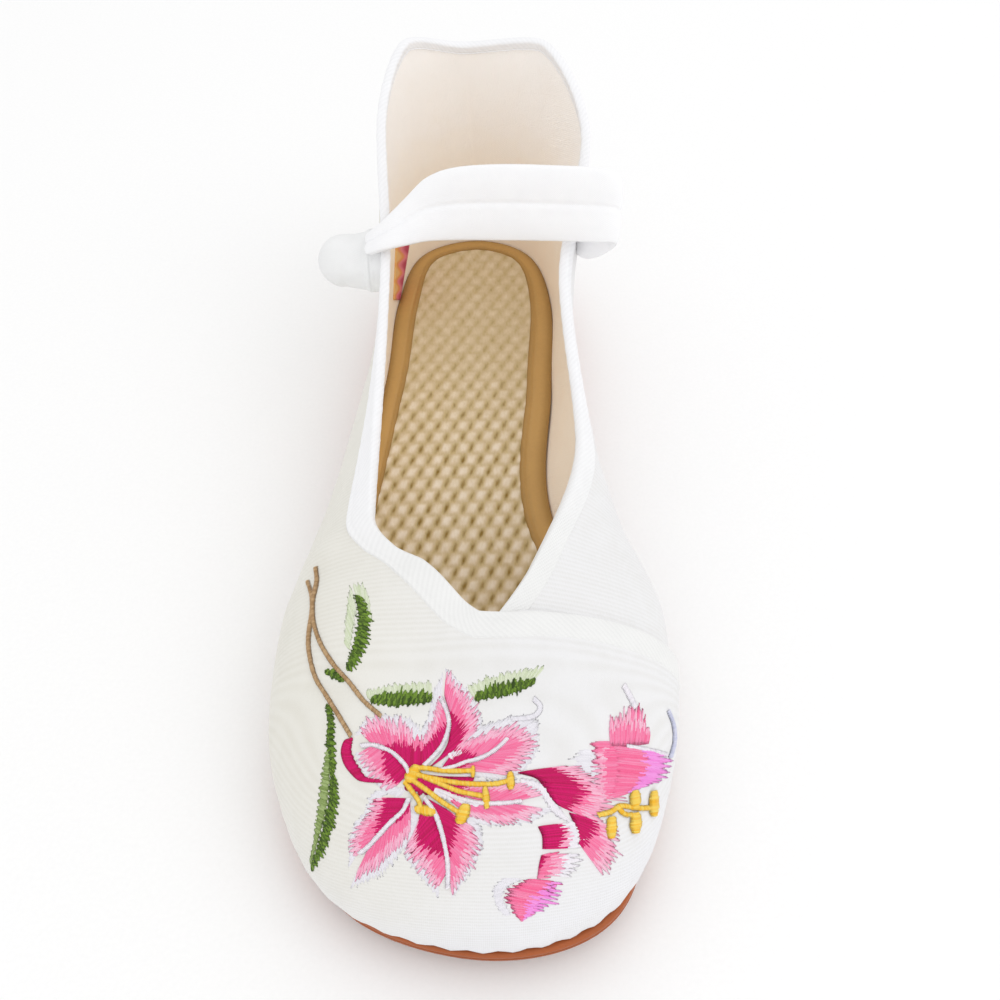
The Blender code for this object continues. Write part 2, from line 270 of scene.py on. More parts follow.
# Node materials
def tint(red, green, blue):
    share = np.array([red, green, blue]) / 255.0
    linear = np.where(share <= 0.04045, share / 12.92, ((share + 0.055) / 1.055) ** 2.4)
    return (*[float(c) for c in linear], 1.0)


def add_node(tree, kind, inputs, **settings):
    made = tree.nodes.new(kind)
    for key, value in settings.items():
        setattr(made, key, value)
    for key, value in inputs.items():
        if isinstance(value, bpy.types.NodeSocket):
            tree.links.new(value, made.inputs[key])
        else:
            made.inputs[key].default_value = value
    return made


def calc(tree, operation, first, second=0.0, third=0.0):
    made = add_node(tree, "ShaderNodeMath", {0: first, 1: second, 2: third}, operation=operation)
    return made.outputs[0]


def mark(tree, name):
    return add_node(tree, "ShaderNodeAttribute", {}, attribute_name=name).outputs["Fac"]


def noise(tree, scale, detail=3.0, stretch=(1.0, 1.0, 1.0)):
    place = add_node(tree, "ShaderNodeTexCoord", {}).outputs["Object"]
    scaled = add_node(tree, "ShaderNodeMapping", {"Vector": place, "Scale": stretch}).outputs[0]
    inputs = {"Vector": scaled, "Scale": scale, "Detail": detail}
    return add_node(tree, "ShaderNodeTexNoise", inputs).outputs["Fac"]


def ramp(tree, share, stops):
    made = add_node(tree, "ShaderNodeValToRGB", {"Fac": share})
    steps = made.color_ramp.elements
    while len(steps) < len(stops):
        steps.new(0.5)
    for step, (place, colour) in zip(steps, stops):
        step.position = place
        step.color = colour
    return made.outputs["Color"]


def blend(tree, way, share, first, second):
    made = add_node(tree, "ShaderNodeMix", {"Factor": share}, data_type="RGBA", blend_type=way)
    for place, value in ((6, first), (7, second)):
        if isinstance(value, bpy.types.NodeSocket):
            tree.links.new(value, made.inputs[place])
        else:
            made.inputs[place].default_value = value
    return made.outputs[2]


def times_plus(tree, value, times, plus):
    return calc(tree, "MULTIPLY_ADD", value, times, plus)


def wave(tree, value, pitch):
    return calc(tree, "SINE", calc(tree, "MULTIPLY", value, TURN / pitch))


def shader_of(name, settings):
    made = bpy.data.materials.new(name)
    made.use_nodes = True
    shader = made.node_tree.nodes["Principled BSDF"]
    for key, value in settings.items():
        shader.inputs[key].default_value = value
    return made, made.node_tree, shader


def fibrous(sheen, sheen_rough, specular):
    return {"Sheen Weight": sheen, "Sheen Roughness": sheen_rough, "Specular IOR Level": specular}


def finish_look(tree, shader, colour, height, depth, rough):
    tree.links.new(colour, shader.inputs["Base Color"])
    tree.links.new(rough, shader.inputs["Roughness"])
    bump = add_node(tree, "ShaderNodeBump", {"Height": height, "Strength": 1.0, "Distance": depth * MM})
    tree.links.new(bump.outputs["Normal"], shader.inputs["Normal"])


def cloth(name, low, high, pitch, crossed, depth, shade, sheen, painted_glow=0.0):
    # Woven cloth: two colours by the tone mark, painted shade between the yarns along the u and v marks,
    # and a painted glow that makes it look lit
    made, tree, shader = shader_of(name, fibrous(sheen, 0.5, 0.25))
    rows = wave(tree, mark(tree, "u"), pitch[0])
    columns = wave(tree, mark(tree, "v"), pitch[1])
    if crossed:
        yarn = calc(tree, "MULTIPLY", rows, columns)
    else:
        yarn = times_plus(tree, columns, 0.22, calc(tree, "MULTIPLY", rows, 0.78))
    fibre = noise(tree, 2600.0)
    slub = noise(tree, 160.0, 2.0)
    height = times_plus(tree, fibre, 0.7, times_plus(tree, yarn, 0.5, slub))
    base = blend(tree, "MIX", mark(tree, "tone"), low, high)
    level = times_plus(tree, yarn, 0.35, times_plus(tree, fibre, 0.3, slub))
    shadow = ramp(tree, calc(tree, "MULTIPLY", level, 0.8), ((0.15, shade), (0.75, UNSHADED)))
    colour = blend(tree, "MULTIPLY", 1.0, base, shadow)
    finish_look(tree, shader, colour, height, depth, times_plus(tree, fibre, 0.18, 0.72))
    # Painted light: the cloth glows in its own colour, as if lit
    if painted_glow > 0.0:
        tree.links.new(colour, shader.inputs["Emission Color"])
        shader.inputs["Emission Strength"].default_value = painted_glow
    return made


def thread(name, low, high):
    # Twisted silk thread: plies along the strand, two shades by strand
    made, tree, shader = shader_of(name, fibrous(0.06, 0.4, 0.3))
    twist = wave(tree, times_plus(tree, mark(tree, "v"), 1.6, mark(tree, "u")), 0.62)
    fibre = noise(tree, 3800.0, 2.0)
    base = blend(tree, "MIX", mark(tree, "tone"), low, high)
    level = times_plus(tree, twist, 0.14, times_plus(tree, fibre, 0.5, 0.35))
    shadow = ramp(tree, level, ((0.2, (0.94, 0.92, 0.93, 1.0)), (0.7, UNSHADED)))
    colour = blend(tree, "MULTIPLY", 1.0, base, shadow)
    height = times_plus(tree, twist, 0.4, fibre)
    finish_look(tree, shader, colour, height, 0.05, times_plus(tree, fibre, 0.2, 0.36))
    return made


def moulded(name, low, high, grain, depth, rough_low, coat):
    # Smooth moulded or coated surface with fine grain and blotches, darker where the tone mark is low:
    # painted shade at the band's edges, and darker towards the bottom on the sole
    settings = {"Coat Weight": coat, "Coat Roughness": 0.35, "Specular IOR Level": 0.45}
    made, tree, shader = shader_of(name, settings)
    fine = noise(tree, grain, 4.0)
    broad = noise(tree, 45.0)
    share = times_plus(tree, broad, 0.45, times_plus(tree, fine, 0.25, mark(tree, "tone")))
    colour = ramp(tree, calc(tree, "MULTIPLY", share, 0.6), ((0.15, low), (0.75, high)))
    finish_look(tree, shader, colour, fine, depth, times_plus(tree, fine, 0.25, rough_low))
    return made


def footbed(name):
    # Coarse linen weave by the tone mark: painted shade in the gaps, a mid tone, and painted highlights on
    # the raised yarns
    made, tree, shader = shader_of(name, fibrous(0.1, 0.5, 0.2))
    fibre = noise(tree, 1500.0, 4.0, (1.0, 0.4, 1.0))
    blotch = noise(tree, 220.0, 2.0)
    mixed = times_plus(tree, fibre, 0.3, times_plus(tree, blotch, 0.26, mark(tree, "tone")))
    stops = (
        (0.10, tint(148, 120, 62)),
        (0.38, tint(208, 187, 142)),
        (0.62, tint(226, 208, 176)),
        (0.92, tint(250, 238, 220)),
    )
    colour = ramp(tree, calc(tree, "SUBTRACT", mixed, 0.25), stops)
    finish_look(tree, shader, colour, fibre, 0.18, times_plus(tree, fibre, 0.2, 0.75))
    return made


def ribbon_look(name):
    # Woven ribbon: stripes across the tone mark, broken by the weft along the u mark
    made, tree, shader = shader_of(name, fibrous(0.2, 0.4, 0.35))
    weft = wave(tree, mark(tree, "u"), 5.5)
    fibre = noise(tree, 2600.0)
    stops = (
        (0.1, tint(240, 190, 120)),
        (0.35, tint(236, 150, 74)),
        (0.6, tint(236, 128, 150)),
        (0.95, tint(196, 48, 92)),
    )
    colour = ramp(tree, times_plus(tree, weft, 0.22, mark(tree, "tone")), stops)
    height = times_plus(tree, weft, 0.5, fibre)
    finish_look(tree, shader, colour, height, 0.05, times_plus(tree, fibre, 0.2, 0.55))
    return made


# Meshes
def grid_faces(rows, columns, closed_rows, closed_columns):
    i = np.arange(rows if closed_rows else rows - 1)[:, None]
    j = np.arange(columns if closed_columns else columns - 1)[None, :]
    k = (i + 1) % rows
    m = (j + 1) % columns
    corners = [i * columns + j, i * columns + m, k * columns + m, k * columns + j]
    return np.stack(np.broadcast_arrays(*corners), -1).reshape(-1, 4)


def tube_faces(count, size, closed):
    # Rings joined in order, with flat ends where they don't close
    faces = grid_faces(count, size, closed, True).tolist()
    if not closed:
        faces.append(list(reversed(range(size))))
        faces.append(list(range((count - 1) * size, count * size)))
    return faces


def tree_of(wall):
    # Search tree of a wall that runs all the way round the shoe
    faces = grid_faces(*wall.shape[:2], True, False)
    return BVHTree.FromPolygons(wall.reshape(-1, 3).tolist(), faces.tolist())


def piece(name, points, faces, look, slot, replaced=(), u=0.0, v=0.0, tone=0.5):
    # A mesh with its faces turned outwards, and its u, v and tone marks
    points = np.asarray(points, float).reshape(-1, 3)
    quads = np.array([face for face in faces if len(face) == 4])
    a, b, c, d = (points[quads[:, n]] for n in range(4))
    volume = np.sum(np.cross(a, b) * c) + np.sum(np.cross(a, c) * d)
    faces = [tuple(int(n) for n in face) for face in faces]
    if volume < 0.0:
        faces = [face[::-1] for face in faces]
    mesh = bpy.data.meshes.new(name)
    mesh.from_pydata(((points - CENTRE) * MM).tolist(), [], faces)
    mesh.polygons.foreach_set("use_smooth", [True] * len(mesh.polygons))
    for key, value in (("u", u), ("v", v), ("tone", tone)):
        shape = np.shape(value) or (len(points),)
        values = np.broadcast_to(np.asarray(value, float), shape).reshape(-1)
        mesh.attributes.new(key, "FLOAT", "POINT").data.foreach_set("value", values.astype(np.float32))
    mesh.update()
    mesh.materials.append(look)
    made = bpy.data.objects.new(name, mesh)
    bpy.context.scene.collection.objects.link(made)
    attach(made, "root")
    if replaced:
        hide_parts(*replaced)


def swept(name, rings, look, slot, closed, replaced=(), tone=0.5):
    # A tube through rings, with u along it and v round each ring
    shape = rings.shape[:2]
    u = np.broadcast_to(run_length(rings.mean(axis=1))[:, None], shape)
    v = np.array([run_length(ring) for ring in rings])
    if np.ndim(tone):
        tone = np.broadcast_to(tone, shape)
    piece(name, rings, tube_faces(*shape, closed), look, slot, replaced, u, v, tone)


# White cloth: the low colour is painted shade for the lateral side, the high colour the lit side
WHITE_CLOTH = cloth("white_cloth", tint(234, 232, 224), tint(239, 239, 242), (1.15, 0.45), False, 0.07,
                    (0.95, 0.945, 0.93, 1.0), 0.1)
# Lining cloth with a painted glow that brightens the inside of the shoe
LINING_CLOTH = cloth("lining_cloth", tint(250, 236, 216), tint(255, 253, 251), (0.7, 0.7), True, 0.05,
                     (0.98, 0.96, 0.94, 1.0), 0.1, 0.075)
BINDING_CLOTH = cloth("binding_cloth", tint(241, 241, 240), tint(249, 249, 251), (1.15, 0.45), False, 0.05,
                      (0.95, 0.95, 0.95, 1.0), 0.12)
STRAP_CLOTH = cloth("strap_cloth", tint(252, 252, 253), tint(254, 254, 255), (0.55, 0.55), True, 0.035,
                    (0.96, 0.96, 0.97, 1.0), 0.12)
BUTTON_CLOTH = cloth("button_cloth", tint(240, 241, 238), tint(247, 247, 250), (0.5, 0.5), True, 0.035,
                     (0.95, 0.95, 0.95, 1.0), 0.12)
FOOTBED = footbed("woven_linen")
BAND_LOOK = moulded("brown_band", tint(150, 114, 56), tint(202, 160, 94), 900.0, 0.06, 0.42, 0.05)
RUBBER = moulded("brown_rubber", tint(120, 54, 14), tint(174, 88, 32), 1400.0, 0.05, 0.4, 0.1)

# Upper: the outer cloth, with its flap, puckers and creases
ON_EDGE = FLAP_PHI + FLAP_STEP_PHI * np.array([0.0, 0.3, 0.65, 1.0])
WALL_PHI = np.concatenate([
    np.arange(0.0, 228.0, 1.2),
    np.arange(228.0, 241.99, 0.3),
    ON_EDGE,
    np.arange(242.8, 256.0, 0.5),
    np.arange(256.0, 359.5, 1.2),
])
WALL_H = np.linspace(0.0, 1.0, 112)
BACK_LEVELS = WALL_H[::-6]
PUCKER = 0.1
LASTING = 0.26
SLOW_WAVE = 0.28
BACK_SEAM = 0.28
QUARTER_Y = -40.0
LATERAL_COUNT = 170
grid_phi, grid_h = np.meshgrid(WALL_PHI, WALL_H, indexing="ij")
wall_base = last_point(grid_phi, grid_h)
wall_normal = last_normal(grid_phi, grid_h)
flap_h = np.linspace(1.0, 0.0, 60)
flap_edge = last_point(np.full_like(flap_h, FLAP_PHI), flap_h)
lateral_rim = top_edge(np.linspace(92.0, 179.0, 60))
hem_gap, _, hem_run = from_line(wall_base, np.concatenate([lateral_rim, flap_edge]))
pucker = PUCKER * np.sin(TURN * hem_run / 4.6) * hill(hem_gap - HEM_WIDTH - 1.5, 2.0)
hem = np.where(grid_phi <= FLAP_PHI + 1e-6, pucker, 0.0)
foot_run = run_length(foot(WALL_PHI))[:, None]
lasting_wave = np.sin(TURN * foot_run / 6.8 + 1.3 * np.sin(foot_run / 17.0))
lasting = LASTING * lasting_wave * np.exp(-grid_h / 0.06)
slow = SLOW_WAVE * np.sin(wall_base[..., 1] / 13.0 + wall_base[..., 2] / 9.0)
slow *= np.sin(wall_base[..., 0] / 15.0 + 1.0)
slow *= eased(grid_h / 0.2) * eased((1.0 - grid_h) / 0.15)
press = np.zeros_like(grid_h)
for phi_a, h_a, phi_b, h_b, width, deep in CREASES:
    turn_b = phi_b - 360.0 if phi_b - phi_a > 180.0 else phi_b
    line = last_point(np.linspace(phi_a, turn_b, 24), np.linspace(h_a, h_b, 24))
    gap, share, _ = from_line(wall_base, line)
    fade = np.sin(np.pi * np.clip(share, 0.02, 0.98)) ** 0.6
    press += deep * fade * (hill(gap, width * 0.35) - 0.5 * hill(gap - width * 0.8, width * 0.45))
heel_turn = np.minimum(grid_phi, 360.0 - grid_phi)
back_seam = BACK_SEAM * (hill(heel_turn, 1.0) - 0.6 * hill(heel_turn - 3.6, 1.6))
relief = flap_lift(grid_phi, grid_h) - hem + lasting + slow - press - back_seam
outer = wall_base + wall_normal * relief[..., None]
back_phi, back_h = np.meshgrid(WALL_PHI, BACK_LEVELS, indexing="ij")
back = last_point(back_phi, back_h) - last_normal(back_phi, back_h) * (WALL - LINING)
rings = np.concatenate([outer, back], axis=1)
x, y, z = np.moveaxis(rings, -1, 0)

# Ribs of the cloth run across the toe, along the quarters and upright round the heel
bend_in = eased((-y - 60.0) / 50.0)
heel_run = np.minimum(foot_run, foot_run[-1] - foot_run)
lateral_y = foot(WALL_PHI)[:LATERAL_COUNT, 1]
quarter_run = heel_run - np.interp(QUARTER_Y, -lateral_y, heel_run[:LATERAL_COUNT, 0])
behind = eased((y - 20.0) / 30.0)
rib_run = (1.0 - behind) * (-y - z * bend_in) + behind * (quarter_run + QUARTER_Y)
rib_cross = x + z * (1.0 - bend_in)
# Painted light in the tone mark: the lateral side darker and warmer as painted shade, the medial side and
# the low front of the toe lighter and cooler as painted light
toe_painted_cool = eased((-y - 75.0) / 40.0) * eased((34.0 - z) / 26.0)
painted_light_tone = np.clip(0.8 * eased((x + 40.0) / 60.0) + 0.6 * toe_painted_cool, 0.0, 1.0)
faces = grid_faces(*rings.shape[:2], True, True)
piece("upper_cloth", rings, faces, WHITE_CLOTH, "white_cloth", ("upper",), rib_run, rib_cross, painted_light_tone)
vamp_tree = tree_of(outer)

# Lining, a second wall inside the first
LINING_RIPPLE = 0.22
LINING_SEAM = 0.35
lining_h = np.linspace(0.0, 1.0, 40)
line_phi, line_h = np.meshgrid(WALL_PHI, lining_h, indexing="ij")
line_base = last_point(line_phi, line_h)
line_normal = last_normal(line_phi, line_h)
ripple = LINING_RIPPLE * np.sin(line_base[..., 1] / 9.0 + line_base[..., 2] / 14.0)
ripple *= eased((1.0 - line_h) / 0.2)
line_turn = np.minimum(line_phi, 360.0 - line_phi)
ripple -= LINING_SEAM * hill(line_turn, 3.0) * eased((1.0 - line_h) / 0.3)
inside = line_base - line_normal * (WALL + ripple)[..., None]
outside = line_base - line_normal * (WALL - LINING + 0.05)
rings = np.concatenate([inside, outside[:, ::-1]], axis=1)
round_run = np.broadcast_to(heel_run, rings.shape[:2])
# Painted shade and a painted warm bounce from the footbed: the lining darker and more tan towards the
# bottom
painted_low_shade = 0.25 + 0.75 * eased((rings[..., 2] - 25.0) / 50.0)
faces = grid_faces(*rings.shape[:2], True, True)
piece("lining", rings, faces, LINING_CLOTH, "white_cloth", (), round_run, rings[..., 2], painted_low_shade)
lining_tree = tree_of(inside)

# Thread strands
STRANDS = {}
STRAND_SIDES = ((-0.5, -0.15), (-0.34, 0.66), (0.0, 1.0), (0.34, 0.66), (0.5, -0.15))


def lay(kind, points, normals, width, height):
    # One strand: rounded across, dipping into the cloth at both ends
    points = np.asarray(points, float)
    count = len(points)
    t = np.linspace(-1.0, 1.0, count)
    rise = 1.0 - np.abs(t) ** 5 * 1.25
    slim = 1.0 - 0.45 * np.abs(t) ** 4
    along = unit(np.gradient(points, axis=0))
    side = unit(np.cross(along, normals))
    ring = []
    for across, above in STRAND_SIDES:
        sideways = side * (across * width * slim)[:, None]
        ring.append(points + sideways + normals * (above * height * rise)[:, None])
    ring = np.stack(ring, axis=1)
    runs = np.broadcast_to(run_length(points)[:, None], ring.shape[:2])
    rounds = np.broadcast_to(np.linspace(-0.5, 0.5, len(STRAND_SIDES)), ring.shape[:2])
    STRANDS.setdefault(kind, []).append((ring, runs, rounds, rng.uniform()))


def make_strands(kind, name, look, slot):
    # All strands of one thread as one piece
    points, faces, u, v, tone = [], [], [], [], []
    start = 0
    for ring, runs, rounds, shade in STRANDS[kind]:
        count, size = ring.shape[:2]
        faces += [[start + n for n in face] for face in tube_faces(count, size, False)]
        points.append(ring.reshape(-1, 3))
        u.append(runs.reshape(-1))
        v.append(rounds.reshape(-1))
        tone.append(np.full(count * size, shade))
        start += count * size
    marks = [np.concatenate(values) for values in (u, v, tone)]
    piece(name, np.concatenate(points), faces, look, slot, (), *marks)


# Collar tape, folded over the top edge from the medial front round the heel and on along the vamp's edge
BIND_LEG = 6.9
SEWN = 5.2
HALF_RIM = WALL / 2.0
RIM_ROUND = 0.85
HEM_UNDER = 1.3
INNER_LEG = 0.35
JOIN_REACH = 24
JOIN_PAST = 18
JOIN_SLIM = 0.5
BIAS = 0.71
DEPTHS = np.concatenate([np.linspace(BIND_LEG, SEWN - 1.4, 14), np.linspace(3.3, 0.0, 7)])
ROLL = np.linspace(0.0, np.pi, 11)[1:-1]
SEWN_COLUMN = int(np.argmin(np.abs(DEPTHS - SEWN)))


def tape_out(below, thin):
    # How far the tape stands off the wall at a depth below the edge; its raw edge is turned in
    stand = 0.46 + 0.1 * hill(below, 2.6) - 0.12 * hill(below - SEWN, 0.5)
    return thin * stand - (thin * stand + 0.3) * eased((below - BIND_LEG + 0.5) / 0.5)


def waver(line):
    run = run_length(line)
    return 1.0 + 0.08 * np.sin(TURN * run / 5.2) + 0.05 * np.sin(TURN * run / 3.1 + 1.0)


def rim_point(phi, below, out):
    # A place on the rim, at a depth below the edge and a distance out from the wall's outer face
    top = top_edge(phi)
    down = top_handle(phi) - top
    reach = np.linalg.norm(down, axis=-1)
    h = np.clip(1.0 - np.maximum(below, 0.0) / (3.0 * reach), 0.0, 1.0)
    above = down / reach[..., None] * np.minimum(below, 0.0)[..., None]
    away = out + np.where(out >= -HALF_RIM, flap_lift(phi, h), 0.0)
    return last_point(phi, h) + above + last_normal(phi, h) * away[..., None]


def rim_ring(phi, slim):
    # One closed ring of the folded tape round the collar edge at each angle
    thin = waver(top_edge(phi)) * slim
    columns = []
    for below in DEPTHS:
        columns.append(rim_point(phi, np.full(len(phi), below), tape_out(below, thin)))
    for angle in ROLL:
        out = -HALF_RIM + (HALF_RIM + tape_out(0.0, thin)) * np.cos(angle)
        columns.append(rim_point(phi, -RIM_ROUND * slim * np.sin(angle), out))
    for below in DEPTHS[::-1]:
        columns.append(rim_point(phi, np.full(len(phi), below * INNER_LEG), -WALL - tape_out(below, thin)))
    return np.stack(columns, axis=1)


def flap_ring(h):
    # The same tape along the edge of the wrapped vamp
    phi = np.full(len(h), FLAP_PHI)
    normal = last_normal(phi, h)
    edge = last_point(phi, h) + normal * flap_lift(phi, h)[:, None]
    way = unit(np.cross(unit(np.gradient(edge, axis=0)), normal))
    way *= np.sign(np.sum(way * (last_point(phi - 4.0, h) - edge), axis=-1, keepdims=True))
    thin = waver(edge) * JOIN_SLIM
    columns = []
    for below in DEPTHS:
        spots = [np.array(vamp_tree.find_nearest(Vector(p))[0]) for p in edge + way * below]
        columns.append(np.array(spots) + normal * tape_out(below, thin)[:, None])
    for angle in ROLL:
        out = -HALF_RIM + (HALF_RIM + tape_out(0.0, thin)) * np.cos(angle)
        columns.append(edge - way * RIM_ROUND * JOIN_SLIM * np.sin(angle) + normal * out[:, None])
    for below in DEPTHS[::-1]:
        columns.append(edge + way * below * INNER_LEG - normal * HEM_UNDER)
    return np.stack(columns, axis=1)


medial_phi = np.linspace(242.9, 359.5, 210)
lateral_phi = np.linspace(0.0, 177.0, 300)
medial_slim = JOIN_SLIM + (1.0 - JOIN_SLIM) * eased((medial_phi - 246.0) / 16.0)
lateral_slim = 1.0 - (1.0 - JOIN_SLIM) * eased((lateral_phi - 138.0) / 30.0)
JOIN = len(medial_phi) + len(lateral_phi)
tape = np.concatenate([
    rim_ring(medial_phi, medial_slim),
    rim_ring(lateral_phi, lateral_slim),
    flap_ring(np.linspace(0.975, 0.02, 150)),
])

# The tape turns the corner at the tip of the opening in one soft bend, laid back on the cloth
sharp_tape = tape.copy()
for i in range(JOIN - JOIN_REACH, JOIN + JOIN_PAST):
    weights = hill(np.arange(-JOIN_REACH, JOIN_REACH + 1), 1.0 + 7.0 * hill(i - JOIN + 3, 9.0))
    nearby = sharp_tape[i - JOIN_REACH:i + JOIN_REACH + 1]
    tape[i] = np.tensordot(weights / weights.sum(), nearby, axes=1)
    for j, below in enumerate(DEPTHS[:-4]):
        spot, normal, _, _ = vamp_tree.find_nearest(Vector(tape[i, j]))
        tape[i, j] = np.array(spot) + np.array(normal) * np.sign(normal.z) * tape_out(below, JOIN_SLIM)
tape_run = run_length(tape[:, SEWN_COLUMN])[:, None]
tape_round = np.array([run_length(ring) for ring in tape])
tape_shade = np.concatenate([
    eased((medial_phi - 248.0) / 30.0),
    1.0 - eased((lateral_phi - 98.0) / 40.0),
    np.zeros(len(tape) - JOIN),
])
tape_tone = np.broadcast_to(tape_shade[:, None], tape.shape[:2])
piece("collar_tape", tape, tube_faces(*tape.shape[:2], False), BINDING_CLOTH, "binding_cloth",
      ("collar_binding_lateral", "collar_binding_medial"),
      (tape_run + tape_round) * BIAS, (tape_run - tape_round) * BIAS, tape_tone)

# Strap: a plump folded band with one sewn line along its middle
strap_rows = np.array(STRAP)
row_at = np.arange(len(strap_rows), dtype=float)
band_at = np.linspace(0.0, len(strap_rows) - 1.0, 260)
strap_values = []
for k in range(5):
    values = strap_rows[:, k]
    strap_values.append(hermite(row_at, values, smooth_slopes(row_at, values), band_at))
middle = np.stack(strap_values[:3], -1)
lean = np.radians(strap_values[3])
half_width = strap_values[4]
strap_run = run_length(middle)
along = unit(np.gradient(middle, axis=0))
across = np.stack([np.zeros_like(lean), np.sin(lean), np.cos(lean)], -1)
face_way = unit(np.cross(along, across))
STRAP_SEAM = 0.02
STRAP_PULL = 0.07
ROOT_FOLD = 3.2
ROOT_RUN = 22.0


def strap_thick(wide):
    # Half the band's thickness across its width: rounded edges and a sewn middle
    edge = np.sqrt(np.clip(1.0 - np.abs(wide) ** 8, 0.0, 1.0))
    sewn = 0.34 * hill(wide - STRAP_SEAM, 0.07)
    plump = 0.2 * hill(np.abs(wide) - 0.5, 0.3)
    return edge * STRAP_HALF_THICK * (0.9 + plump - sewn)


wides = np.concatenate([
    np.linspace(-1.0, -0.9, 7),
    np.linspace(-0.87, 0.87, 43),
    np.linspace(0.9, 1.0, 7),
])
root_fold = ROOT_FOLD * (1.0 - eased((strap_run - 3.0) / ROOT_RUN))
columns = []
for way, order in ((1.0, wides), (-1.0, wides[::-1][1:-1])):
    for wide in order:
        pull = STRAP_PULL * np.sin(TURN * strap_run / 6.5 + 2.0 * wide)
        off = way * (strap_thick(wide) + pull * hill(abs(wide - STRAP_SEAM) - 0.16, 0.14))
        if way > 0.0:
            off = off + root_fold * np.sqrt(1.0 - min(abs(wide), 1.0) ** 4)
        columns.append(middle + across * (wide * half_width)[:, None] + face_way * off[:, None])
swept("strap_band", np.stack(columns, axis=1), STRAP_CLOTH, "strap_cloth", False, ("strap",))

# Ball button: cloth gathered over a ball, like the end of a thumb, flaring where it is sewn on
BUTTON_RISE = 1.0
BUTTON_RADIUS = 7.5
BUTTON_FLARE = 1.5
BUTTON_FOLD = 0.14
BUTTON_TUCK = 0.22
BUTTON_SIDES = 120
SEWN_DEEP = 0.9
ball_x, ball_y, ball_z = BALL_CENTRE
button_z = ball_z + BUTTON_RISE
quarter_hit = vamp_tree.ray_cast(Vector((-70.0, ball_y, button_z)), Vector((1.0, 0.0, 0.0)))[0]
sewn_on = quarter_hit[0] + SEWN_DEEP
profile = []
for a in np.linspace(np.pi - 0.04, np.pi / 2.0, 44):
    profile.append((ball_x + BUTTON_RADIUS * np.cos(a), BUTTON_RADIUS * np.sin(a)))
for x in np.linspace(ball_x + 0.3, sewn_on, 40):
    profile.append((x, BUTTON_RADIUS + BUTTON_FLARE * eased((x - ball_x) / (sewn_on - ball_x))))
turns = np.linspace(0.0, TURN, BUTTON_SIDES, endpoint=False)


def side_ring(along_x, radius, turn):
    # Places round the button's axis
    y = ball_y + radius * np.cos(turn)
    z = button_z + radius * np.sin(turn)
    return np.stack(np.broadcast_arrays(along_x, y, z), -1)


rings = []
for along_x, radius in profile:
    depth_in = along_x - (ball_x - BUTTON_RADIUS)
    fold = BUTTON_FOLD * np.sin(6.0 * turns + 0.3 * depth_in + 0.8 * np.sin(2.0 * turns))
    tuck = -BUTTON_TUCK * hill(depth_in - 9.5 - 1.6 * np.sin(turns + 0.6), 1.3)
    wide = np.maximum(radius + fold * eased((depth_in - 4.0) / 8.0) + tuck, 0.02)
    rings.append(side_ring(along_x, wide, turns))
swept("ball_button", np.array(rings), BUTTON_CLOTH, "button_cloth", False, ("button",))

# Loop round the neck: a soft flat roll
LOOP_LONG = 1.9
LOOP_OUT = 0.5
LOOP_BEFORE = 3.4
loop_x = sewn_on - LOOP_BEFORE
round_cord = np.linspace(0.0, TURN, 24, endpoint=False)
rings = []
for a in np.linspace(0.0, TURN, 200, endpoint=False):
    cord = 1.0 + 0.06 * np.sin(2.0 * round_cord + 9.0 * a) + 0.03 * np.sin(23.0 * a)
    radius = BUTTON_RADIUS + LOOP_OUT + cord * np.cos(round_cord)
    rings.append(side_ring(loop_x + LOOP_LONG * np.sin(round_cord), radius, a))
swept("loop_roll", np.array(rings), BUTTON_CLOTH, "loop_cloth", True, ("button_loop",))


# Sole pieces
def inset_ring(phi, inset, height):
    ring = foot(phi) - outward(phi) * np.asarray(inset)[..., None]
    ring[:, 2] = height(ring[:, 1])
    return ring


def crossing(ring, low_y, high_y, rows, columns):
    # Grid of places between the lateral and medial halves of a ring
    half = len(ring) // 2
    lateral = ring[: half + 1]
    medial = np.concatenate([ring[half:], ring[:1]])[::-1]
    y = low_y + (high_y - low_y) * rows
    left = np.interp(y, lateral[::-1, 1], lateral[::-1, 0])
    right = np.interp(y, medial[::-1, 1], medial[::-1, 0])
    x = left[:, None] + (right - left)[:, None] * columns[None, :]
    return x, np.broadcast_to(y[:, None], x.shape)


INSOLE_INSET = WALL + 0.5
fine_phi = np.linspace(0.0, 360.0, 720, endpoint=False)

# Footbed: a coarse weave of raised floats with slanting gaps between them, worn flatter at the heel
WEAVE_X = 2.52
WEAVE_Y = 4.2
WEAVE_TURN = np.radians(1.5)
WEAVE_SLANT = 0.3
UNDER_BAND = 0.9
BED_ROWS = 440
BED_COLUMNS = 150
trim = BAND_TRIM * eased(1.0 - np.abs(fine_phi - 105.0) / 70.0)
trim += HEEL_TRIM * eased(1.3 - np.minimum(fine_phi, 360.0 - fine_phi) / 50.0)
bed_ring = inset_ring(fine_phi, INSOLE_INSET + BAND_WIDTH + GAP - UNDER_BAND - trim, feather_height)
bed_x, bed_y = crossing(bed_ring, bed_ring[:, 1].min() + 0.02, bed_ring[:, 1].max() - 0.02,
                        np.linspace(0.0, 1.0, BED_ROWS), np.linspace(0.0, 1.0, BED_COLUMNS))
turned_x = bed_x * np.cos(WEAVE_TURN) + bed_y * np.sin(WEAVE_TURN)
turned_y = -bed_x * np.sin(WEAVE_TURN) + bed_y * np.cos(WEAVE_TURN)
weave_row = np.round(turned_y / WEAVE_Y)
row_y = turned_y - weave_row * WEAVE_Y
row_x = turned_x - weave_row * WEAVE_X - WEAVE_SLANT * row_y
float_x = np.mod(row_x + WEAVE_X, 2.0 * WEAVE_X) - WEAVE_X
gap_x = np.mod(row_x, 2.0 * WEAVE_X) - WEAVE_X
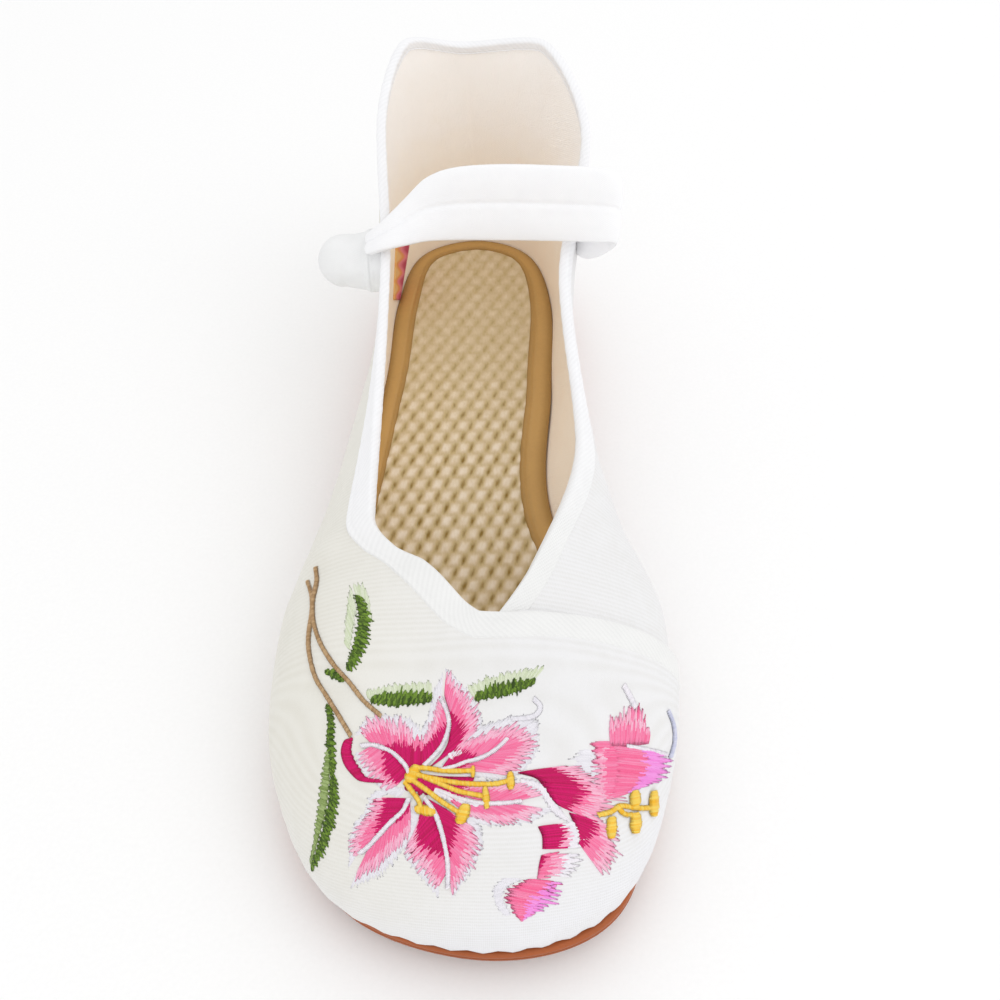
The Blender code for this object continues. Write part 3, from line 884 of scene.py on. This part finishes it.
uneven = 0.5 + 0.5 * np.sin(turned_x * 0.83 + 2.0 * np.sin(turned_y * 0.37)) * np.sin(turned_y * 0.61 + 1.0)
floats = np.exp(-(float_x / 1.3) ** 4 - (row_y / 1.6) ** 4)
gaps = np.exp(-(gap_x / 0.72) ** 2 - (row_y / 1.75) ** 2)
worn_in = 1.0 - 0.62 * eased((bed_y - 5.0) / 70.0)
weave_level = 0.46 + worn_in * (floats * (0.28 + 0.14 * uneven) - gaps * (0.3 + 0.1 * uneven))
bed_z = feather_height(bed_y) + INSOLE_THICK - 0.35 + 0.6 * (weave_level - 0.5)
weave_top = np.stack([bed_x, bed_y, bed_z], -1)
sides = np.stack([bed_x[:, ::BED_COLUMNS - 1], bed_y[:, ::BED_COLUMNS - 1]], -1)
weave_low = np.concatenate([sides, (feather_height(sides[..., 1]) + GAP)[..., None]], axis=-1)
bed_index = np.arange(BED_ROWS * BED_COLUMNS).reshape(BED_ROWS, BED_COLUMNS)
low_index = BED_ROWS * BED_COLUMNS + np.arange(2 * BED_ROWS).reshape(BED_ROWS, 2)
faces = [tuple(f) for f in grid_faces(BED_ROWS, BED_COLUMNS, False, False)]
for r in range(BED_ROWS - 1):
    faces.append((low_index[r, 1], low_index[r, 0], low_index[r + 1, 0], low_index[r + 1, 1]))
    faces.append((bed_index[r, 0], bed_index[r + 1, 0], low_index[r + 1, 0], low_index[r, 0]))
    faces.append((bed_index[r + 1, -1], bed_index[r, -1], low_index[r, 1], low_index[r + 1, 1]))
faces.append((*bed_index[0, ::-1], *low_index[0]))
faces.append((*bed_index[-1], *low_index[-1, ::-1]))
bed_points = np.concatenate([weave_top.reshape(-1, 3), weave_low.reshape(-1, 3)])
bed_tone = np.concatenate([weave_level.reshape(-1), np.full(2 * BED_ROWS, 0.4)])
piece("footbed_weave", bed_points, faces, FOOTBED, "woven_linen", ("insole",), 0.0, 0.0, bed_tone)

# Brown band round the footbed, with a pressed line
BAND_PRESS = 0.28
BAND_EDGE = (
    (-0.8, GAP),
    (-0.8, INSOLE_THICK - 0.6),
    (-0.2, INSOLE_THICK - 0.2),
    (0.7, INSOLE_THICK + 0.1),
)
BAND_INNER = (
    (BAND_WIDTH - 0.35, INSOLE_THICK + 0.1),
    (BAND_WIDTH, INSOLE_THICK - 0.3),
    (BAND_WIDTH, GAP),
)
band_steps = list(BAND_EDGE)
for inset in np.linspace(1.4, BAND_WIDTH - 0.9, 14):
    pressed = BAND_PRESS * hill(inset - BAND_WIDTH + 2.0, 0.4)
    band_steps.append((inset, INSOLE_THICK + 0.2 - pressed))
band_steps += BAND_INNER
columns = []
painted_edge_shade = []
# Painted shade: the band darker at both edges, against the wall and at the weave
for inset, rise in band_steps:
    narrowed = inset * (1.0 - trim[::2] / BAND_WIDTH)
    ring = inset_ring(fine_phi[::2], INSOLE_INSET + narrowed, feather_height)
    ring[:, 2] += rise
    columns.append(ring)
    painted_edge_shade.append(0.2 + 0.7 * np.sin(np.pi * np.clip(inset / BAND_WIDTH, 0.0, 1.0)))
band_rings = np.stack(columns, axis=1)
swept("footbed_band", band_rings, BAND_LOOK, "brown_band", True, ("insole_band",), np.array(painted_edge_shade)[None, :])

# Outsole: rounded side wall with a line, and a fine tread below
SIDE = (
    (4.0, 1.0),
    (1.6, 1.0),
    (0.9, 1.0),
    (0.45, 0.97),
    (0.2, 0.9),
    (0.05, 0.8),
    (0.05, 0.72),
    (0.4, 0.68),
    (0.4, 0.65),
    (0.0, 0.61),
    (0.0, 0.5),
    (0.1, 0.35),
    (0.3, 0.22),
    (0.8, 0.1),
    (1.5, 0.04),
    (2.6, 0.0),
)
SOLE_STEPS = len(fine_phi)
HALF = SOLE_STEPS // 2
TREAD_COLUMNS = 121
TREAD_DEEP = 0.9
BAR_PITCH = 4.4
ZIGZAG_PITCH = 9.0
ZIGZAG_REACH = 7.0
welt = column("welt", fine_phi)
levels = []
for inset, share in SIDE:
    ring = inset_ring(fine_phi, inset - welt, feather_height)
    ring_top = ring[:, 2] - GAP
    ring_low = tread_height(ring[:, 1])
    ring[:, 2] = ring_low + share * (ring_top - ring_low)
    levels.append(ring)
side_rings = np.array(levels)
faces = [tuple(f) for f in grid_faces(len(levels), SOLE_STEPS, False, True)]
for n in range(1, HALF - 1):
    faces.append((n, n + 1, SOLE_STEPS - n - 1, SOLE_STEPS - n))
faces.append((0, 1, SOLE_STEPS - 1))
faces.append((HALF - 1, HALF, HALF + 1))
tread_base = (len(levels) - 1) * SOLE_STEPS
tread_ring = side_rings[-1]
lateral = tread_ring[1:HALF]
medial = tread_ring[:HALF:-1]
t = np.linspace(0.0, 1.0, TREAD_COLUMNS)[None, 1:-1, None]
tread = lateral[:, None, :] * (1.0 - t) + medial[:, None, :] * t
x, y = tread[..., 0], tread[..., 1]
rim = np.minimum(t[..., 0], 1.0 - t[..., 0]) * np.linalg.norm(medial - lateral, axis=-1)[:, None]
ends = np.minimum(y - tread_ring[:, 1].min(), tread_ring[:, 1].max() - y)
inside = eased((rim - 3.0) / 0.8) * eased((ends - 4.0) / 0.8)
zigzag = np.abs(np.mod(x / ZIGZAG_PITCH, 1.0) - 0.5) * ZIGZAG_REACH
bars = eased((np.abs(np.mod((y + zigzag) / BAR_PITCH, 1.0) - 0.5) - 0.16) / 0.1)
plain = eased((34.0 - np.abs(y - 14.0)) / 2.0)
tread[..., 2] = tread_height(y) + TREAD_DEEP * inside * bars * (1.0 - plain)
tread_index = len(levels) * SOLE_STEPS + np.arange(tread[..., 0].size).reshape(tread.shape[:2])
lateral_index = tread_base + np.arange(1, HALF)
medial_index = tread_base + np.arange(SOLE_STEPS - 1, HALF, -1)
index = np.concatenate([lateral_index[:, None], tread_index, medial_index[:, None]], axis=1)
cells = np.stack([index[:-1, :-1], index[:-1, 1:], index[1:, 1:], index[1:, :-1]], -1).reshape(-1, 4)
faces += [tuple(f) for f in cells]
faces += [(tread_base, *index[0, ::-1][n:n + 2]) for n in range(index.shape[1] - 1)]
faces += [(tread_base + HALF, *index[-1][n:n + 2]) for n in range(index.shape[1] - 1)]
sole_points = np.concatenate([side_rings.reshape(-1, 3), tread.reshape(-1, 3)])
# The sole darker towards the bottom by the tone mark
darker_low = 0.35 + 0.4 * eased((sole_points[:, 2] - tread_height(sole_points[:, 1]) - 0.3) / 4.0)
piece("sole_unit", sole_points, faces, RUBBER, "brown_rubber", ("outsole",), 0.0, 0.0, darker_low)

# Camera
PHOTO = 1000.0
FOCAL = 1062.0
SENSOR = 36.0
CAMERA = np.array([8.05, -191.5, 254.0])
CAMERA_TILT = np.radians(39.0)
camera_data = bpy.data.cameras.new("camera")
camera_data.sensor_width = SENSOR
camera_data.lens = FOCAL / PHOTO * SENSOR
camera_data.clip_start = 0.01
camera = bpy.data.objects.new("camera", camera_data)
camera.location = (CAMERA - CENTRE) * MM
camera.rotation_euler = (CAMERA_TILT, 0.0, 0.0)
bpy.context.scene.collection.objects.link(camera)
bpy.context.scene.camera = camera


# Embroidery, drawn as the camera sees it and laid on the vamp
MIDDLE_PX = np.array([500.0, 760.0])
PX_MM = 0.28
THREAD_STEP = 0.30
THREAD_WIDE = 0.42
THREAD_HIGH = 0.22
FLAT_HIGH = 0.1
FLAT_KINDS = ("halo", "light_leaf")
STITCH_PARTS = 5
SHORTEST = 0.08


def sight(tree, place):
    # Where the line of sight through a place in the frame meets a surface
    x, y = (np.asarray(place, float) - PHOTO / 2.0) / FOCAL
    back = np.sin(CAMERA_TILT) - y * np.cos(CAMERA_TILT)
    down = -np.cos(CAMERA_TILT) - y * np.sin(CAMERA_TILT)
    way = Vector((x, back, down)).normalized()
    hit, normal, _, _ = tree.ray_cast(Vector(CAMERA), way)
    if hit is None:
        return None, None
    facing = -1.0 if normal.dot(way) > 0.0 else 1.0
    return np.array(hit), np.array(normal) * facing


def on_vamp(place):
    # The same for the upper, pulled in towards the middle where the line passes beside it
    for pull in np.linspace(0.0, 0.3, 16):
        spot, way = sight(vamp_tree, place + (MIDDLE_PX - place) * pull)
        if spot is not None:
            return spot, way
    return None, None


def smooth_line(points, shares):
    # Places at shares of the run of a smooth line through points
    points = np.asarray(points, float)
    runs = run_length(points)
    at = np.asarray(shares) * runs[-1]
    x, y = (hermite(runs, values, smooth_slopes(runs, values), at) for values in points.T)
    return np.stack([x, y], -1)


def spikes(count):
    # Uneven thread ends in small pointed groups, each from 0 to 1
    ends = []
    while len(ends) < count:
        size = int(rng.integers(3, 8))
        peak = rng.uniform(0.5, 1.0)
        at = (np.arange(size) + 0.5) / size
        ends += list(peak * (1.0 - np.abs(2.0 * at - 1.0) ** 1.3) + rng.uniform(-0.1, 0.1, size))
    return np.array(ends[:count])


def sew(kind, first, second, layer, pad=0.0):
    # One stitch between two places in the frame, lifted by its layer and padded in its middle
    spots = []
    ways = []
    for t in np.linspace(0.0, 1.0, STITCH_PARTS):
        spot, way = on_vamp(first + (second - first) * t)
        if spot is None:
            return
        spots.append(spot + way * (layer + pad * np.sin(np.pi * t)))
        ways.append(way)
    high = FLAT_HIGH if kind in FLAT_KINDS else THREAD_HIGH
    lay(kind, spots, np.array(ways), THREAD_WIDE * rng.uniform(0.85, 1.15), high)


def spread(values, t):
    # A value, or some values evenly spread, read at shares from 0 to 1
    values = np.atleast_1d(values)
    return np.interp(t, np.linspace(0.0, 1.0, len(values)), values)


def fill(first, second, bands, lean=(1.0, 0.0)):
    # Satin stitches between two lines; a band is a thread, its start and end, how ragged, and its layer
    long = max(run_length(np.asarray(line, float))[-1] for line in (first, second))
    count = max(int(long * PX_MM / THREAD_STEP), 3)
    t = np.linspace(0.0, 1.0, count)
    a = smooth_line(first, t * lean[0])
    b = smooth_line(second, lean[1] + t * (1.0 - lean[1]))
    for kind, starts, ends, ragged, layer in bands:
        begin = spread(starts, t)
        stop = spread(ends, t)
        begin = begin - ragged * (spikes(count) - 0.4) * np.clip(4.0 * np.abs(begin), 0.0, 1.0)
        stop = stop + ragged * (spikes(count) - 0.5) * np.clip(4.0 * stop, 0.0, 1.0)
        for i in range(count):
            if stop[i] - begin[i] > SHORTEST:
                way = b[i] - a[i]
                sew(kind, a[i] + way * begin[i], a[i] + way * stop[i], layer + rng.uniform(0.0, 0.06))


def rope(kind, line, wide, layer=0.12, pad=0.35, slant=0.5, step=0.34, ends=0.0):
    # A cord of short stitches across a line, narrowing to its ends by a share
    count = max(int(run_length(np.asarray(line, float))[-1] * PX_MM / step), 3)
    t = np.linspace(0.0, 1.0, count)
    middle_line = smooth_line(line, t)
    ways = unit(np.gradient(middle_line, axis=0))
    wides = wide * np.sqrt(1.0 - ends * (2.0 * t - 1.0) ** 2)
    for place, way, broad in zip(middle_line, ways, wides):
        across_way = np.array([-way[1], way[0]])
        reach = across_way * broad / 2.0 * rng.uniform(0.9, 1.1)
        tilt = way * broad * slant / 2.0
        sew(kind, place - reach - tilt, place + reach + tilt, layer, pad)


def petal(inner, edge, deep, outer=None, soft="pink", rim="blush"):
    # One side of a petal: deep at the rib, paler to the edge, and a white rim outside it
    if outer is not None:
        fill(edge, outer, [("halo", -0.5, 0.95, 0.3, -0.05)])
    under = [max(share - 0.5, 0.0) for share in deep]
    bands = [
        (soft, under, 1.0, 0.35, 0.03),
        (rim, 0.72, 1.1, 0.5, 0.06),
        ("magenta", 0.0, deep, 0.45, 0.1),
    ]
    fill(inner, edge, bands, (0.8, 0.2))


A_RIB = ((409, 773), (406, 766), (399, 758), (392, 752), (383, 748), (373, 745), (362, 746))
B_RIB = ((425, 765), (434, 756), (442, 746), (447, 734), (449, 722), (446, 710), (441, 699))
C_RIB = ((441, 770), (456, 766), (466, 762), (478, 759), (489, 754), (499, 747), (507, 739))
D_RIB = ((440, 791), (458, 798), (481, 803), (505, 803), (521, 801))
E_RIB = ((425, 798), (435, 813), (441, 829), (445, 845), (448, 864), (448, 887))
F_RIB = ((409, 799), (403, 811), (390, 823), (379, 835), (368, 847), (360, 853))
B_RIGHT = (
    (430, 767), (440, 757), (447, 746), (450, 734), (451, 722), (449, 710), (445, 697),
    (444, 685), (446, 677),
)
petal(
    A_RIB,
    ((422, 748), (416, 741), (410, 733), (403, 726), (395, 727), (386, 722), (377, 721), (369, 725),
     (362, 733)),
    (0.85, 0.7, 0.5, 0.2, 0.0, 0.0),
    ((426, 736), (419, 724), (412, 717), (400, 714), (386, 712), (373, 716), (362, 721), (354, 736)),
)
petal(
    A_RIB,
    ((404, 791), (394, 789), (382, 780), (373, 774), (367, 766), (361, 753)),
    (1.0, 0.95, 0.8, 0.4, 0.05, 0.0),
    ((398, 799), (386, 794), (374, 785), (366, 778), (359, 768), (354, 753)),
)
fill(
    ((402, 763), (409, 773), (418, 770), (428, 764)),
    ((400, 751), (409, 744), (418, 746), (430, 748)),
    [("pink", 0.7, 1.4, 0.5, 0.03), ("magenta", 0.0, 1.1, 0.5, 0.1)],
)
fill(
    ((351, 738), (344, 741), (341, 752), (344, 764), (352, 775), (360, 781), (382, 783)),
    ((353, 739), (352, 745), (352, 753), (356, 762), (361, 770), (367, 777), (384, 780)),
    [("magenta", 0.0, 1.0, 0.15, 0.1)],
)
petal(
    B_RIGHT,
    ((452, 759), (460, 747), (467, 738), (473, 728), (474, 718), (468, 704), (461, 693), (455, 685),
     (447, 675)),
    (1.0, 0.95, 0.85, 0.7, 0.45, 0.15, 0.0, 0.0),
    ((464, 752), (474, 744), (481, 734), (484, 719), (477, 703), (470, 691), (460, 680), (445, 667)),
)
petal(
    B_RIB,
    ((418, 754), (423, 744), (428, 735), (433, 726), (436, 714), (439, 704), (441, 697)),
    (1.0, 0.9, 0.8, 0.6, 0.4, 0.1, 0.0),
    ((411, 745), (418, 733), (424, 722), (429, 710), (431, 697), (435, 683), (443, 668)),
)
petal(
    C_RIB,
    ((447, 758), (457, 746), (469, 742), (483, 737), (500, 731), (516, 730), (531, 739)),
    (0.95, 0.75, 0.3, 0.05, 0.0, 0.0),
    ((456, 744), (472, 730), (492, 721), (512, 715), (528, 713), (541, 720), (541, 735)),
)
petal(
    C_RIB,
    ((462, 771), (475, 770), (488, 772), (501, 773), (513, 768), (522, 758), (532, 741)),
    (0.4, 0.1, 0.0, 0.0),
    ((466, 777), (482, 779), (500, 781), (514, 779), (527, 771), (538, 757), (541, 738)),
)
petal(
    D_RIB,
    ((452, 783), (470, 786), (490, 786), (507, 786), (524, 787), (540, 795)),
    (0.5, 0.2, 0.0, 0.0, 0.0),
    ((462, 779), (484, 780), (505, 780), (524, 779), (541, 782), (558, 806)),
)
petal(
    D_RIB,
    ((446, 806), (461, 811), (477, 816), (490, 819), (507, 819), (525, 816), (541, 809)),
    (0.3, 0.0, 0.0),
    ((450, 814), (466, 822), (486, 827), (508, 826), (534, 822), (558, 808)),
)
petal(
    E_RIB,
    ((418, 806), (419, 820), (414, 834), (410, 848), (423, 865), (438, 886)),
    (0.95, 1.0, 0.95, 0.85, 0.5, 0.1, 0.0),
    ((412, 809), (410, 824), (404, 838), (403, 856), (418, 877), (438, 900)),
)
petal(
    E_RIB,
    ((447, 803), (459, 817), (470, 830), (474, 843), (465, 868), (452, 889)),
    (0.95, 0.85, 0.65, 0.4, 0.15, 0.0),
    ((458, 805), (473, 814), (483, 828), (484, 848), (475, 867), (453, 900)),
)
petal(
    F_RIB,
    ((391, 791), (379, 796), (373, 813), (363, 825), (356, 839), (355, 856)),
    (1.0, 0.95, 0.75, 0.4, 0.1, 0.0),
    ((384, 788), (369, 795), (362, 811), (351, 827), (347, 845), (348, 868)),
)
petal(
    F_RIB,
    ((414, 807), (412, 820), (406, 834), (391, 849), (375, 864), (356, 876)),
    (0.5, 0.25, 0.0, 0.0, 0.0),
    ((420, 809), (419, 826), (414, 839), (399, 857), (382, 877), (350, 890)),
)
fill(
    ((412, 772), (440, 776), (474, 777)),
    ((404, 790), (436, 797), (468, 792)),
    [("magenta", 0.0, 1.0, 0.2, 0.08)],
)
fill(
    ((436, 786), (450, 790), (466, 797), (480, 801)),
    ((433, 796), (446, 800), (462, 805), (477, 808)),
    [("white", 0.0, 1.0, 0.25, 0.14)],
)
fill(((448, 752), (460, 749)), ((452, 764), (464, 759)), [("white", 0.0, 0.8, 0.4, 0.14)])

# Second bloom, partly turned away
petal(
    ((518, 773), (537, 779), (545, 791), (558, 805), (568, 811)),
    ((540, 767), (566, 768), (592, 784), (606, 801), (590, 819)),
    (1.0, 1.0, 0.95, 0.7, 0.4),
)
petal(
    ((569, 813), (574, 824), (578, 836), (578, 849)),
    ((594, 816), (610, 830), (610, 852), (601, 872)),
    (0.85, 0.65, 0.45, 0.2),
)
fill(
    ((521, 779), (541, 785), (553, 802), (563, 814), (570, 826), (573, 846)),
    ((522, 785), (537, 791), (547, 806), (558, 819), (577, 824), (579, 846)),
    [("white", -0.2, 0.9, 0.3, 0.0)],
)
petal(
    ((538, 827), (542, 837), (542, 854)),
    ((562, 819), (579, 833), (575, 847)),
    (0.95, 0.8, 0.65),
    None,
    "blush",
    "white",
)
petal(
    ((541, 856), (539, 864), (537, 878)),
    ((570, 848), (573, 861), (566, 876)),
    (0.3, 0.0),
    None,
    "blush",
    "white",
)
fill(
    ((541, 856), (539, 864), (537, 878)),
    ((570, 848), (573, 861), (566, 876)),
    [("pink", 0.0, 0.5, 0.6, 0.08)],
)
fill(
    ((523, 879), (509, 887), (501, 896), (508, 906), (513, 914), (521, 921)),
    ((558, 882), (557, 888), (552, 898), (546, 904), (536, 911), (523, 920)),
    [("pink", 0.1, 0.95, 0.5, 0.04), ("lilac", (0.8, 0.65, 0.55, 0.6), 1.0, 0.5, 0.1)],
)
fill(
    ((500, 879), (492, 890), (495, 905), (504, 916)),
    ((523, 879), (507, 888), (505, 900), (512, 914)),
    [("halo", 0.0, 1.0, 0.3, -0.05)],
)
fill(
    ((611, 746), (620, 747), (633, 746), (648, 744)),
    ((609, 723), (622, 714), (635, 709), (650, 730)),
    [("pink", 0.0, 0.95, 0.6, 0.06), ("blush", 0.5, 1.0, 0.6, 0.08)],
)
fill(((613, 742), (613, 756)), ((588, 742), (595, 756)), [("pink", 0.0, 0.95, 0.5, 0.06)])
K_MIDDLE = ((618, 747), (621, 760), (621, 772), (617, 786), (611, 798))
fill(
    ((602, 750), (598, 762), (600, 774), (598, 788)),
    ((576, 750), (570, 763), (575, 775), (588, 792)),
    [("halo", -0.2, 1.0, 0.3, -0.05)],
)
fill(
    K_MIDDLE,
    ((600, 748), (595, 758), (596, 770), (595, 784), (603, 799)),
    [("pink", 0.0, 0.95, 0.5, 0.06), ("blush", 0.55, 1.0, 0.5, 0.08)],
)
fill(
    K_MIDDLE,
    ((660, 753), (668, 760), (668, 769), (658, 780), (634, 791)),
    [("pink", -0.25, 0.8, 0.35, 0.09), ("lilac", (0.5, 0.45, 0.45, 0.7), 1.0, 0.35, 0.12)],
)
fill(
    ((627, 744), (640, 746), (655, 749), (667, 752)),
    ((627, 749), (640, 751), (655, 754), (667, 758)),
    [("white", 0.0, 1.0, 0.3, 0.12)],
)
rope("white", ((624, 686), (629, 695), (635, 707)), 6.0, 0.06, 0.25)
rope("halo", ((534, 699), (540, 706), (537, 714), (527, 718), (512, 719)), 6.0, 0.02, 0.15)
rope("pale_blue", ((668, 711), (673, 725), (674, 741), (670, 757)), 3.4)

# White ribs of the petals
for rib, wide in ((A_RIB, 5.0), (B_RIB, 5.0), (C_RIB, 4.6), (D_RIB, 4.8), (E_RIB, 5.2), (F_RIB, 5.2)):
    rope("white", rib, wide, 0.2, 0.3, 0.5, 0.45)

# Stamens and anthers
for line in (
    ((411, 771), (422, 768), (445, 771), (472, 771)),
    ((414, 774), (445, 781), (470, 784), (495, 784), (508, 781)),
    ((424, 777), (441, 784), (458, 791), (482, 796)),
    ((409, 778), (424, 788), (441, 801), (458, 812)),
    ((405, 782), (412, 791), (419, 801), (421, 807)),
):
    rope("yellow", line, 5.4, 0.28, 0.4, 0.35)
for line, wide in (
    (((473, 767), (473, 777)), 5.0),
    (((510, 773), (511, 789)), 8.5),
    (((485, 788), (487, 808)), 8.0),
    (((466, 805), (460, 823)), 13.0),
    (((416, 809), (435, 812)), 11.0),
    (((417, 766), (409, 782)), 13.0),
    (((611, 817), (611, 837)), 11.5),
    (((634, 791), (635, 807)), 11.5),
    (((635, 813), (635, 832)), 12.0),
    (((653, 791), (653, 815)), 10.5),
):
    rope("yellow", line, wide, 0.3, 0.45, 0.2, 0.34, 0.6)
rope("yellow", ((598, 815), (610, 812), (620, 806), (636, 808), (650, 808)), 6.0, 0.2, 0.4, 0.3)
rope("yellow", ((618, 808), (624, 814), (632, 815)), 5.5, 0.2, 0.4, 0.3)


# Leaves and stems
def leaf(spine, wide):
    # Short stitches across a spine, ragged on both sides
    t = np.linspace(0.0, 1.0, 24)
    middle_line = smooth_line(spine, t)
    ways = unit(np.gradient(middle_line, axis=0))
    half = wide / 2.0 * (0.3 + 0.7 * np.sin(np.pi * t) ** 0.6)
    side = np.stack([-ways[:, 1], ways[:, 0]], -1) * half[:, None]
    bands = [("leaf", 0.1, 0.95, 0.55, 0.04), ("dark_leaf", 0.25, 0.7, 0.7, 0.09)]
    fill(middle_line + side, middle_line - side, bands, (0.93, 0.07))


for edge, outer in (
    (((355, 606), (352, 622), (348, 648)), ((350, 584), (346, 606), (343, 640))),
    (((357, 597), (366, 600), (369, 620)), ((351, 578), (365, 586), (373, 622))),
    (((368, 697), (390, 694), (410, 692), (431, 691)), ((366, 689), (387, 684), (410, 681), (431, 680))),
    (((473, 696), (490, 688), (512, 682), (536, 677)), ((466, 684), (484, 676), (510, 670), (546, 665))),
):
    fill(edge, outer, [("light_leaf", -0.3, 0.9, 0.4, -0.04)])
leaf(((357, 594), (363, 610), (364, 624), (360, 643), (353, 661), (347, 672)), 15.0)
leaf(((325, 671), (335, 675), (344, 681)), 10.0)
leaf(((370, 700), (390, 699), (410, 698), (433, 698)), 18.0)
leaf(((474, 699), (490, 693), (512, 687), (536, 680)), 16.0)
fill(
    ((330, 752), (328, 781), (326, 802), (322, 822), (317, 842), (311, 864)),
    ((325, 752), (320, 781), (317, 802), (315, 822), (313, 842), (310, 858)),
    [("fresh_leaf", -0.2, 0.9, 0.5, 0.0)],
)
leaf(((327, 703), (331, 720), (330, 739), (332, 760), (333, 781)), 9.0)
leaf(((333, 772), (333, 800), (330, 818), (324, 842), (315, 863), (311, 871)), 12.0)
rope(
    "stem",
    ((316, 568), (317, 581), (313, 602), (314, 623), (321, 644), (334, 665), (349, 682), (364, 701),
     (381, 716)),
    4.7,
)
rope(
    "stem",
    ((308, 582), (312, 596), (312, 613), (309, 634), (309, 650), (315, 676), (326, 695), (336, 711),
     (351, 736)),
    4.7,
)

SILKS = {
    "white": (tint(244, 240, 248), tint(254, 250, 255)),
    "halo": (tint(236, 234, 241), tint(246, 244, 250)),
    "pink": (tint(255, 104, 156), tint(255, 150, 190)),
    "blush": (tint(255, 160, 196), tint(255, 206, 226)),
    "lilac": (tint(252, 140, 226), tint(255, 166, 240)),
    "magenta": (tint(192, 0, 84), tint(228, 2, 116)),
    "yellow": (tint(255, 198, 44), tint(255, 226, 110)),
    "pale_blue": (tint(208, 212, 236), tint(226, 228, 246)),
    "leaf": (tint(92, 126, 30), tint(128, 160, 58)),
    "dark_leaf": (tint(52, 76, 18), tint(86, 112, 38)),
    "fresh_leaf": (tint(128, 152, 78), tint(176, 196, 132)),
    "light_leaf": (tint(212, 224, 186), tint(232, 238, 216)),
    "stem": (tint(174, 138, 96), tint(206, 174, 132)),
}
for kind, (low, high) in SILKS.items():
    make_strands(kind, "embroidery_" + kind, thread("silk_" + kind, low, high), "white_cloth")

# Striped ribbon tab sewn to the lateral lining
RIBBON_TOP = np.array([402.0, 244.0])
RIBBON_LOW = np.array([396.0, 300.0])
RIBBON_HALF_PX = (6.5, 3.0)
RIBBON_MOVES = np.arange(-12.0, 12.5, 0.5)
RIBBON_THICK = 0.5
RIBBON_SUNK = 0.1
RIBBON_ROWS = 24
RIBBON_COLUMNS = 13


def ribbon_row(t):
    # One row of the ribbon across the lining, moved over until all of it meets the lining
    half = RIBBON_HALF_PX[0] + (RIBBON_HALF_PX[1] - RIBBON_HALF_PX[0]) * t
    for move in sorted(RIBBON_MOVES, key=abs):
        row = []
        for shift in np.linspace(-1.0, 1.0, RIBBON_COLUMNS):
            place = RIBBON_TOP + (RIBBON_LOW - RIBBON_TOP) * t + np.array([half * shift + move, 0.0])
            row.append(sight(lining_tree, place))
        if all(spot is not None for spot, _ in row):
            return row
    return None


ribbon_rows = [ribbon_row(t) for t in np.linspace(0.0, 1.0, RIBBON_ROWS)]
ribbon_rows = [row for row in ribbon_rows if row is not None]
ribbon_spots = np.array([[spot for spot, _ in row] for row in ribbon_rows])
ribbon_ways = np.array([[way for _, way in row] for row in ribbon_rows])
ribbon_face = ribbon_spots + ribbon_ways * RIBBON_THICK
ribbon_back = ribbon_spots - ribbon_ways * RIBBON_SUNK
rings = np.concatenate([ribbon_face, ribbon_back[:, ::-1]], axis=1)
stripe = np.linspace(0.0, 1.0, RIBBON_COLUMNS)
stripes = np.concatenate([stripe, stripe[::-1]])[None, :]
swept("ribbon_tab", rings, ribbon_look("ribbon_stripes"), "white_cloth", False, (), stripes)

# Stage: pale floor, soft light
bpy.ops.mesh.primitive_grid_add(x_subdivisions=8, y_subdivisions=8, size=6.0)
floor = bpy.context.object
floor.name = "floor"
floor_look, floor_tree, floor_shader = shader_of("floor_pale", {"Specular IOR Level": 0.1})
floor_speck = noise(floor_tree, 900.0, 2.0)
floor_colour = ramp(floor_tree, floor_speck, ((0.3, tint(252, 252, 252)), (0.7, tint(254, 254, 254))))
floor_rough = calc(floor_tree, "MULTIPLY_ADD", floor_speck, 0.1, 0.8)
finish_look(floor_tree, floor_shader, floor_colour, floor_speck, 0.01, floor_rough)
floor.data.materials.append(floor_look)

world = bpy.data.worlds.new("studio")
world.use_nodes = True
world.node_tree.nodes["Background"].inputs["Color"].default_value = (1.0, 1.0, 1.0, 1.0)
world.node_tree.nodes["Background"].inputs["Strength"].default_value = 0.93
bpy.context.scene.world = world
for name, place, size, power in (
    ("key", (0.75, -0.35, 1.1), 0.9, 1.9),
    ("back", (0.1, 1.0, 0.9), 0.8, 0.3),
    ("front", (0.15, -1.1, 0.8), 0.9, 0.6),
):
    light_data = bpy.data.lights.new(name, "AREA")
    light_data.size = size
    light_data.energy = power
    light = bpy.data.objects.new(name, light_data)
    light.location = place
    light.rotation_euler = (Vector((0.0, 0.0, 0.04)) - Vector(place)).to_track_quat("-Z", "Y").to_euler()
    bpy.context.scene.collection.objects.link(light)
bpy.context.scene.view_settings.view_transform = "Standard"
